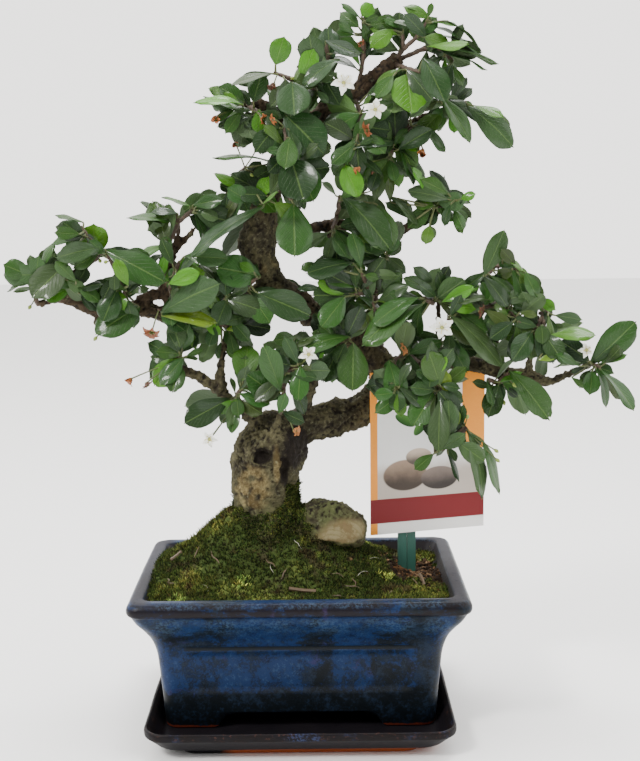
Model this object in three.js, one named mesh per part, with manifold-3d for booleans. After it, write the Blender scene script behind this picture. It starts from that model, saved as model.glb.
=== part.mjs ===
// Fukien tea bonsai in a glazed pot on its drip saucer, with a label card on a stake.
// Millimetres, +Z up. The origin is on the ground under the middle of the pot,
// the front of the tree looks along -Y.
import * as THREE from 'three';
import Module from 'manifold-3d';

const wasm = await Module();
wasm.setup();

// Driving dimensions of the pot and its saucer
const POT_HALF_X = 102;
const POT_HALF_Y = 72.5;
const POT_FOOT_Z = 5.8;
const POT_RIM_Z = 90;
const RIM_WIDTH = 9.5;
const POT_FLOOR_Z = 26;
const FOOT_ARCH_TOP = 14.5;
const PANEL_HALF_X = 66;
const PANEL_DEPTH = 1.4;
const PANEL_LOW = 30;
const PANEL_HIGH = 54;
const GROOVE_Z = 58.2;
const DRAIN_X = 34;
const DRAIN_RADIUS = 8;
const SAUCER_Y = -10;
const SAUCER_NARROWER = 13;
const SAUCER_FLOOR_Z = 5.5;
const SAUCER_RIM_Z = 17.5;
const CLEARANCE = 0.3;
const GRAINS = [0.002, 0.003, 0.005, 0.007, 0.011, 0.013];

// Driving dimensions of the soil, the moss and the label
const MOUND = { x: -18, y: 2, rise: 45, level: 84, left: 60, right: 62, front: 42, back: 46 };
const DIP = { x: 72, y: 30, depth: 8, wide: 16, deep: 28 };
const MOSS_THICK = 4;
const MOSS_EDGE_DROP = 1.8;
const MOSS_INSET = 14.8;
const BARE_DROP = 3;
const SOIL_GAP = 0.6;
const SOIL_LIFT = 1.6;
const CARD = { x: 45.3, y: 4, turn: 0.28, width: 78, bottom: 109.4, height: 105, thick: 0.8 };
const STAKE = { along: 25, strip: 5.6, slot: 0.6, thick: 1.6, bottom: 52, top: 158 };

// Driving dimensions of the leaves and twigs
const LEAF_THICK = 1.1;
const STEM_RADIUS = 1.25;
const STALK_RADIUS = 0.42;
const ROOT_SINK = 0.25;
const STEM_SPINS = [0, 0.4, 0.8, 1.2, 1.6, 2];
const SAMPLE_STEP = 2.6;
const LEAF_REACH = 2.3;
const OWN_REACH = 2.3;
const FOOT_PART = 0.3;
const BLADE_ARCH = 0.05;
const BLADE_CUP = 0.06;
const WIDEST = 0.6;
const TOOTHED_TIP = [[0.9, 0.6], [1, 0], [0.9, -0.6]];
const NOTCHED_TIP = [[0.96, 0.5], [0.9, 0], [0.96, -0.5]];
const NARROW_TIP = [[1, 0]];
const NARROW = 8;
const LONG_STALK = 7;
const BROAD = 9.5;
const BEHIND_SET = 2;
const JOINT_PART = 0.75;
const DEPTH_TRIES = [0, -5, 5, -10, 10, -15, 15, -20, 20];

// Places that are read in the picture plane through the trunk (y = 0) are moved along
// the line of sight to their own depth, so that they still cover what they covered.
const EYE = new THREE.Vector3(12.87, -765.8, 324.7);

function seen(x, z, y) {
  const reach = (y - EYE.y) / (0 - EYE.y);
  return new THREE.Vector3(EYE.x + (x - EYE.x) * reach, y, EYE.z + (z - EYE.z) * reach);
}

// One seeded draw for everything that nature scatters
function seededDraw(seed) {
  let state = seed;
  return () => {
    state = (state + 0x6D2B79F5) | 0;
    let mixed = Math.imul(state ^ (state >>> 15), 1 | state);
    mixed = (mixed + Math.imul(mixed ^ (mixed >>> 7), 61 | mixed)) ^ mixed;
    return ((mixed ^ (mixed >>> 14)) >>> 0) / 4294967296;
  };
}

// Closed solids from points and triangles
function solid(points, triangles) {
  const vertProperties = new Float32Array(points.flatMap((p) => [p.x, p.y, p.z]));
  const triVerts = new Uint32Array(triangles.flat());
  return new wasm.Manifold(new wasm.Mesh({ numProp: 3, vertProperties, triVerts }));
}

function loft(rings, crossed = false) {
  const count = rings[0].length;
  const triangles = [];
  for (let level = 0; level + 1 < rings.length; level += 1) {
    for (let i = 0; i < count; i += 1) {
      const a = level * count + i;
      const b = level * count + (i + 1) % count;
      if (crossed) {
        triangles.push([a, b, a + count], [b, b + count, a + count]);
      } else {
        triangles.push([a, b, b + count], [a, b + count, a + count]);
      }
    }
  }
  const last = (rings.length - 1) * count;
  for (let i = 1; i + 1 < count; i += 1) {
    triangles.push([0, i + 1, i], [last, last + i, last + i + 1]);
  }
  return solid(rings.flat(), triangles);
}

// Merged points and triangles of a geometry, with its places rounded to a grain
function mergedMesh(geometry, matrix, grain) {
  const merged = new Map();
  const points = [];
  const place = new THREE.Vector3();
  const position = geometry.getAttribute('position');
  const order = [];
  for (let i = 0; i < position.count; i += 1) {
    place.fromBufferAttribute(position, i).applyMatrix4(matrix);
    place.multiplyScalar(1 / grain).round().multiplyScalar(grain);
    const key = place.toArray().map((value) => value.toFixed(4)).join();
    if (!merged.has(key)) {
      merged.set(key, points.length);
      points.push(place.clone());
    }
    order.push(merged.get(key));
  }
  const index = geometry.index ? Array.from(geometry.index.array) : order.map((_, i) => i);
  const triangles = [];
  for (let i = 0; i < index.length; i += 3) {
    const corners = [order[index[i]], order[index[i + 1]], order[index[i + 2]]];
    if (new Set(corners).size === 3) {
      triangles.push(corners);
    }
  }
  return { points, triangles };
}

function fromGeometry(geometry, matrix) {
  const { points, triangles } = mergedMesh(geometry, matrix, GRAINS[0]);
  return solid(points, triangles);
}

// A mesh is tight where each edge borders two faces
function isTight(triangles) {
  const uses = new Map();
  for (const corners of triangles) {
    corners.forEach((corner, i) => {
      const next = corners[(i + 1) % 3];
      const edge = `${Math.min(corner, next)},${Math.max(corner, next)}`;
      uses.set(edge, (uses.get(edge) ?? 0) + 1);
    });
  }
  return [...uses.values()].every((count) => count === 2);
}

function block(width, depth, height, x, y, z) {
  const matrix = new THREE.Matrix4().makeTranslation(x, y, z + height / 2);
  return fromGeometry(new THREE.BoxGeometry(width, depth, height), matrix);
}

function join(bodies) {
  return wasm.Manifold.union(bodies);
}

// The main body, without loose scraps and sealed hollows, at a grain that keeps it tight
function settle(body) {
  const geometry = geometryOf(body);
  const settled = GRAINS.map((grain) => mergedMesh(geometry, new THREE.Matrix4(), grain))
    .find(({ triangles }) => isTight(triangles));
  const pieces = (settled ? solid(settled.points, settled.triangles) : body).decompose();
  pieces.sort((a, b) => b.volume() - a.volume());
  return { main: pieces[0], tight: settled !== undefined };
}

function largest(body) {
  return settle(body).main;
}

function geometryOf(body) {
  const mesh = body.getMesh();
  const geometry = new THREE.BufferGeometry();
  const positions = new Float32Array(mesh.numVert * 3);
  for (let i = 0; i < mesh.numVert; i += 1) {
    for (let axis = 0; axis < 3; axis += 1) {
      positions[i * 3 + axis] = mesh.vertProperties[i * mesh.numProp + axis];
    }
  }
  geometry.setAttribute('position', new THREE.BufferAttribute(positions, 3));
  geometry.setIndex(new THREE.BufferAttribute(Uint32Array.from(mesh.triVerts), 1));
  return geometry;
}

const tree = new THREE.Group();
const finished = [];

function add(name, body, colour, roughness, metalness = 0) {
  const flat = geometryOf(body).toNonIndexed();
  flat.computeVertexNormals();
  const material = new THREE.MeshStandardMaterial({ color: colour, roughness, metalness });
  const mesh = new THREE.Mesh(flat, material);
  mesh.name = name;
  tree.add(mesh);
  finished.push({ name, body, box: body.boundingBox() });
}

// Rounded rectangles, the outline of the pot and the saucer
const CORNER_STEPS = 3;

function roundedRing(halfX, halfY, radius, z, y = 0) {
  const ring = [];
  const corners = [[1, -1, -0.5], [1, 1, 0], [-1, 1, 0.5], [-1, -1, 1]];
  for (const [sideX, sideY, start] of corners) {
    for (let step = 0; step <= CORNER_STEPS; step += 1) {
      const angle = (start + 0.5 * step / CORNER_STEPS) * Math.PI;
      const px = sideX * (halfX - radius) + radius * Math.cos(angle);
      const py = sideY * (halfY - radius) + radius * Math.sin(angle);
      ring.push(new THREE.Vector3(px, y + py, z));
    }
  }
  return ring;
}

// Pot: tapered wall, flared neck and lip bead, feet at the corners
const POT_PROFILE = [
  [POT_FOOT_Z, 20, 8], [9, 19, 8], [36, 17.5, 8], [52, 16, 8.5], [62, 13.2, 9],
  [69, 10, 9], [74, 6.4, 8.5], [80, 1, 8], [82.5, 0, 8], [86, 0, 8], [POT_RIM_Z, 3, 8],
];
const NECK_Z = 76;
const NECK_INSET = 15.5;
const FLOOR_INSET = 26.5;

function innerInset(z) {
  if (z > NECK_Z) {
    return NECK_INSET + (RIM_WIDTH - NECK_INSET) * (z - NECK_Z) / (POT_RIM_Z - NECK_Z);
  }
  return FLOOR_INSET + (NECK_INSET - FLOOR_INSET) * (z - POT_FLOOR_Z) / (NECK_Z - POT_FLOOR_Z);
}

function innerRing(z, spare = 0) {
  const inset = innerInset(z) + spare;
  return roundedRing(POT_HALF_X - inset, POT_HALF_Y - inset, 7, z);
}

function archCut(halfWidth, length, alongX) {
  const arch = new THREE.Shape();
  const foot = POT_FOOT_Z - 1;
  arch.moveTo(-halfWidth, foot);
  arch.lineTo(-halfWidth + 7, FOOT_ARCH_TOP - 2);
  arch.lineTo(-halfWidth + 13, FOOT_ARCH_TOP);
  arch.lineTo(halfWidth - 13, FOOT_ARCH_TOP);
  arch.lineTo(halfWidth - 7, FOOT_ARCH_TOP - 2);
  arch.lineTo(halfWidth, foot);
  const prism = new THREE.ExtrudeGeometry(arch, { depth: length, bevelEnabled: false });
  const stand = new THREE.Matrix4().makeRotationX(Math.PI / 2);
  const centre = new THREE.Matrix4().makeTranslation(0, length / 2, 0);
  const turn = new THREE.Matrix4().makeRotationZ(alongX ? Math.PI / 2 : 0);
  return fromGeometry(prism, turn.multiply(centre).multiply(stand));
}

function drainHole(x) {
  const cylinder = new THREE.CylinderGeometry(DRAIN_RADIUS, DRAIN_RADIUS, 30, 16);
  const stand = new THREE.Matrix4().makeRotationX(Math.PI / 2);
  return fromGeometry(cylinder, new THREE.Matrix4().makeTranslation(x, 0, 18).multiply(stand));
}

function panelCut(side) {
  const panelY = side * (POT_HALF_Y - 18 - PANEL_DEPTH + 2);
  const grooveY = side * (POT_HALF_Y - 14.5 - PANEL_DEPTH + 2);
  const frame = block(2 * PANEL_HALF_X, 4, PANEL_HIGH - PANEL_LOW, 0, panelY, PANEL_LOW);
  const groove = block(2 * PANEL_HALF_X + 6, 4, 1.6, 0, grooveY, GROOVE_Z - 0.8);
  return frame.add(groove);
}

function makePot() {
  const outside = loft(POT_PROFILE.map(([z, inset, radius]) => (
    roundedRing(POT_HALF_X - inset, POT_HALF_Y - inset, radius, z)
  )));
  const inside = loft([innerRing(POT_FLOOR_Z), innerRing(NECK_Z), innerRing(POT_RIM_Z + 1)]);
  const cuts = [inside, archCut(52, 200, false), archCut(26, 260, true)];
  cuts.push(drainHole(-DRAIN_X), drainHole(DRAIN_X), panelCut(-1), panelCut(1));
  return outside.subtract(join(cuts));
}

// Saucer: a foot ring under a thin flaring wall, as z, half width along X, corner radius
// and how much narrower the ring is along Y
const SAUCER_OUTSIDE = [
  [0, 72, 11, 6], [2.6, 72.5, 11, 6.5], [3.4, 81.5, 12], [5.6, 85, 12.5], [12.2, 90.6, 13],
  [13.4, 91.9, 13.5], [SAUCER_RIM_Z, 92, 14],
];
const SAUCER_INSIDE = [
  [SAUCER_FLOOR_Z, 82, 10], [8, 83.6, 10.5], [14, 87.6, 11.5], [SAUCER_RIM_Z + 1, 90.8, 12.5],
];

function makeSaucer() {
  const ring = ([z, halfX, radius, narrower = SAUCER_NARROWER]) => (
    roundedRing(halfX, halfX - narrower, radius, z, SAUCER_Y)
  );
  return loft(SAUCER_OUTSIDE.map(ring)).subtract(loft(SAUCER_INSIDE.map(ring)));
}

// Plastic mesh over each drain hole: a plate with square openings
function makeDrainMesh(x) {
  const plate = block(26, 26, 1, x, 0, POT_FLOOR_Z + CLEARANCE);
  const holes = [];
  for (const row of [-5, 5]) {
    for (const column of [-5, 5]) {
      holes.push(block(6, 6, 3, x + column, row, POT_FLOOR_Z - 0.5));
    }
  }
  return plate.subtract(join(holes));
}

// Surface of the mound, highest at the trunk and hollow at the label stake
function moundZ(x, y) {
  const acrossX = (x - MOUND.x) / (x < MOUND.x ? MOUND.left : MOUND.right);
  const acrossY = (y - MOUND.y) / (y < MOUND.y ? MOUND.front : MOUND.back);
  const dip = DIP.depth * Math.exp(-(((x - DIP.x) / DIP.wide) ** 2 + ((y - DIP.y) / DIP.deep) ** 2));
  return MOUND.level + MOUND.rise * Math.exp(-(acrossX ** 2 + acrossY ** 2)) - dip;
}

const RAYS = 26;
const RING_STEPS = [0.25, 0.5, 0.76, 1];

// Where a ray from the trunk meets a rounded rectangle, found by halving
function wallPoint(angle, inset) {
  const halfX = POT_HALF_X - inset;
  const halfY = POT_HALF_Y - inset;
  const radius = 7;
  const outside = (t) => {
    const dx = Math.abs(MOUND.x + t * Math.cos(angle)) - (halfX - radius);
    const dy = Math.abs(MOUND.y + t * Math.sin(angle)) - (halfY - radius);
    return Math.hypot(Math.max(dx, 0), Math.max(dy, 0)) + Math.min(Math.max(dx, dy), 0) > radius;
  };
  let near = 0;
  let far = 200;
  for (let halving = 0; halving < 30; halving += 1) {
    const middle = (near + far) / 2;
    if (outside(middle)) {
      far = middle;
    } else {
      near = middle;
    }
  }
  return [MOUND.x + near * Math.cos(angle), MOUND.y + near * Math.sin(angle)];
}

// Edge of the moss: the pot wall, drawn in where the soil is bare behind the stake
function mossEdge(angle) {
  const [x, y] = wallPoint(angle, MOSS_INSET);
  const bare = Math.exp(-(((angle - 0.42) / 0.4) ** 2)) * 0.52;
  const wander = 0.02 * Math.sin(5 * angle) + 0.012 * Math.sin(11 * angle + 1);
  const keep = 1 - bare - Math.abs(wander);
  return [MOUND.x + (x - MOUND.x) * keep, MOUND.y + (y - MOUND.y) * keep];
}

function surfaceRings(drop) {
  return RING_STEPS.map((step) => {
    const ring = [];
    for (let ray = 0; ray < RAYS; ray += 1) {
      const [edgeX, edgeY] = mossEdge((ray / RAYS) * 2 * Math.PI - Math.PI);
      const x = MOUND.x + (edgeX - MOUND.x) * step;
      const y = MOUND.y + (edgeY - MOUND.y) * step;
      ring.push(new THREE.Vector3(x, y, moundZ(x, y) - drop(step)));
    }
    return ring;
  });
}

function makeMoss() {
  const under = surfaceRings(() => MOSS_THICK);
  const top = surfaceRings((step) => (step === 1 ? MOSS_EDGE_DROP : 0));
  return loft([...under, ...top.reverse()]);
}

function makeSoil() {
  const wall = (zOf) => {
    const ring = [];
    for (let ray = 0; ray < RAYS; ray += 1) {
      const angle = (ray / RAYS) * 2 * Math.PI - Math.PI;
      const [roughX, roughY] = wallPoint(angle, innerInset(MOUND.level) + SOIL_GAP);
      const z = zOf(roughX, roughY);
      const [x, y] = wallPoint(angle, innerInset(z) + SOIL_GAP);
      ring.push(new THREE.Vector3(x, y, z));
    }
    return ring;
  };
  const floor = wall(() => POT_FLOOR_Z + SOIL_LIFT);
  const neck = wall(() => NECK_Z);
  const shore = wall((x, y) => moundZ(x, y) - BARE_DROP);
  const top = surfaceRings(() => MOSS_THICK + CLEARANCE);
  return loft([floor, neck, shore, ...top.reverse()], true);
}

// Trunk: the bole, the limbs and the woody twigs, each point as x, z, depth y and radius
const BOLE = [
  [-18, 80, 2, 17], [-18, 92, 2, 24], [-18, 104, 2, 29], [-18, 118, 2, 26], [-20, 130, 2, 20.5],
  [-22, 141, 2, 20.5], [-22, 151, 1, 21.5], [-19, 162, 0, 23.5], [-16, 172, 1, 21.5],
  [-14, 180, 2, 18], [-12, 187, 3, 12], [-11, 191, 3, 6],
];
const ROOT_LUMP = [
  [-8, 104, -2, 19], [5, 114, -4, 17], [18, 120, -6, 16.5], [28, 116, -7, 14.5],
  [37, 113.5, -6, 11.5], [42, 113, -6, 8],
];
const LEADER = [
  [-12, 178, 3, 12], [5, 183, 8, 11.5], [20, 186, 14, 11], [35, 190, 22, 10.5],
  [45, 195, 29, 10], [54, 204, 33, 9.5], [55, 216, 34, 9], [47, 228, 31, 9], [36, 238, 27, 9],
  [22, 247, 22, 9], [5, 256, 15, 9], [-8, 264, 9, 9], [-16, 272, 5, 8.3], [-19, 281, 3, 8.6],
  [-23, 291, 1, 10.5], [-24, 301, 0, 11], [-21, 311, 0, 9.5], [-17, 322, -1, 8],
  [-12, 340, -2, 7.5], [-4, 355, -3, 7], [8, 368, -4, 6.5], [24, 377, -4, 6],
  [38, 387, -3, 5.5], [52, 398, -2, 5], [64, 406, 0, 4],
];
const LIMBS = [
  [[-12, 268, 6, 6.5], [-32, 262, 3, 5.8], [-52, 256, 0, 5.2], [-72, 250, -3, 5],
    [-92, 256, -5, 4.6], [-106, 256, -7, 4.3], [-119, 254, -8, 4.4], [-128, 257, -9, 3.7],
    [-141, 263, -10, 3.2], [-149, 264, -11, 3], [-160, 260, -12, 2.2]],
  [[-139, 262, -10, 3], [-140, 275, -11, 3], [-131, 284, -12, 2.4], [-124, 287, -12, 1.8]],
  [[-140, 275, -11, 2.2], [-143, 284, -12, 1.9]],
  [[-120, 254, -8, 3], [-125, 246, -9, 2]],
  [[-74, 252, -3, 5], [-78, 265, -4, 5.4], [-80, 277, -5, 5.2], [-79, 290, -5, 4.2]],
  [[-79, 286, -5, 2.6], [-72, 303, -7, 1.6]],
  [[-77, 290, -5, 2.6], [-61, 307, -8, 1.4]],
  [[-101, 256, -6, 4], [-93, 265, -5, 4], [-83, 266, -4, 3.4], [-77, 262, -4, 3]],
  [[-24, 316, 0, 4], [-36, 320, -4, 2.6], [-43, 327, -6, 1.7]],
  [[-27, 320, -1, 2.2], [-29, 342, -4, 1.2]],
  [[-4, 355, -3, 5], [-1, 363, -4, 4.4], [-12, 376, -8, 3.8], [-25, 381, -11, 4.2]],
  [[24, 377, -4, 4.4], [40, 352, 12, 3], [58, 362, 14, 2.7], [70, 367, 12, 2.6],
    [82, 373, 9, 2.5], [91, 375, 7, 2.4]],
  [[-21, 302, 0, 6], [-8, 301, 6, 4.5], [10, 305, 10, 3.7], [24, 308, 12, 3.4],
    [38, 306, 13, 3.2], [50, 302, 13, 3], [62, 300, 12, 3.2], [70, 307, 10, 2.6],
    [82, 312, 8, 2.3], [90, 315, 6, 1.9]],
  [[22, 307, 12, 2.4], [20, 298, 11, 1.7]],
  [[34, 238, 27, 4.4], [42, 247, 16, 3.4], [47, 262, 8, 3.4], [54, 285, 4, 1.8]],
  [[2, 186, 6, 4.6], [6, 200, -4, 4], [10, 214, -7, 3.8], [21, 231, -4, 3.6],
    [33, 243, 6, 3]],
  [[-22, 180, -2, 6], [-31, 190, -8, 3.8], [-38, 195, -9, 3.3], [-48, 204, -10, 3.1],
    [-60, 213, -10, 3.1], [-70, 218, -10, 3.5], [-78, 220, -10, 2.4]],
  [[-47, 203, -10, 2.2], [-49, 217, -11, 1.6], [-46, 230, -10, 1.4], [-44, 243, -8, 1.3]],
  [[-16, 178, -13, 3], [-11, 191, -20, 1.8]],
  [[54, 216, 34, 6.5], [70, 226, 29, 4.8], [88, 222, 22, 4.4], [104, 221, 16, 4.4],
    [118, 218, 9, 5.2], [130, 214, 4, 4], [145, 214, 0, 3], [156, 207, -2, 3.4],
    [164, 211, -4, 2.6], [172, 214, -5, 2.6], [183, 219, -7, 2]],
  [[88, 222, 22, 2.8], [87, 240, 16, 2], [88, 262, 10, 1.4]],
  [[144, 214, 0, 2.6], [147, 235, -5, 1.8], [150, 251, -9, 1.3]],
  [[120, 220, 8, 3], [125, 240, 4, 2.2], [130, 260, 0, 1.8], [124, 273, -2, 1.5],
    [125, 284, -3, 1.2]],
  [[128, 214, 5, 2.4], [127, 203, 3, 1.8]],
  [[72, 226, 29, 2.8], [75, 224, 10, 2.2], [78, 211, -14, 1.8], [88, 199, -22, 2],
    [97, 188, -25, 1.5], [102, 181, -26, 1.3]],
  [[84, 203, -19, 1.5], [86, 182, -24, 1.3], [86, 163, -27, 1.8]],
];
const HOLLOWS = [
  { x: -22, z: 161, y: -24, halfX: 6.5, halfY: 13, halfZ: 6 },
  { x: -4, z: 167, y: -25, halfX: 9, halfY: 13, halfZ: 11 },
  { x: -14, z: 147, y: -24, halfX: 4.5, halfY: 9, halfZ: 9 },
];

function sidesFor(radius) {
  if (radius > 6) {
    return 6;
  }
  return radius > 3 ? 4 : 3;
}

// Round rings carried along a path without twisting, with the swellings of old wood
function woodyTube(points, sides, spare, knobbly, spin = 0) {
  const path = points.map(([x, z, y]) => seen(x, z, y));
  const side = new THREE.Vector3();
  const along = new THREE.Vector3();
  const rings = [];
  let across = null;
  path.forEach((centre, level) => {
    const before = path[Math.max(level - 1, 0)];
    const after = path[Math.min(level + 1, path.length - 1)];
    along.subVectors(after, before).normalize();
    if (across === null) {
      across = Math.abs(along.y) < 0.9 ? new THREE.Vector3(0, 1, 0) : new THREE.Vector3(1, 0, 0);
    }
    across.addScaledVector(along, -across.dot(along)).normalize();
    side.crossVectors(along, across);
    const radius = points[level][3] + spare;
    const ring = [];
    for (let i = 0; i < sides; i += 1) {
      const angle = (i / sides) * 2 * Math.PI + spin;
      const lobes = Math.sin(2 * angle + 1.3 * level) + 0.7 * Math.sin(3 * angle - 2.1 * level);
      const swell = 1 + knobbly * lobes;
      ring.push(centre.clone()
        .addScaledVector(across, radius * swell * Math.cos(angle))
        .addScaledVector(side, radius * swell * Math.sin(angle)));
    }
    rings.push(ring);
  });
  return loft(rings);
}

function makeTrunk(spare = 0) {
  const bodies = [woodyTube(BOLE, 12, spare, 0.05), woodyTube(ROOT_LUMP, 8, spare, 0.06)];
  bodies.push(woodyTube(LEADER, 6, spare, 0.07));
  for (const limb of LIMBS) {
    const knobbly = limb[0][3] > 2.7 ? 0.05 : 0;
    bodies.push(woodyTube(limb, sidesFor(limb[0][3]), spare, knobbly));
  }
  const whole = join(bodies);
  if (spare > 0) {
    return whole;
  }
  const hollows = HOLLOWS.map((hollow) => {
    const matrix = new THREE.Matrix4().makeTranslation(seen(hollow.x, hollow.z, hollow.y));
    matrix.scale(new THREE.Vector3(hollow.halfX, hollow.halfY, hollow.halfZ));
    return fromGeometry(new THREE.SphereGeometry(1, 7, 5), matrix);
  });
  return largest(whole.subtract(join(hollows)));
}

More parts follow.
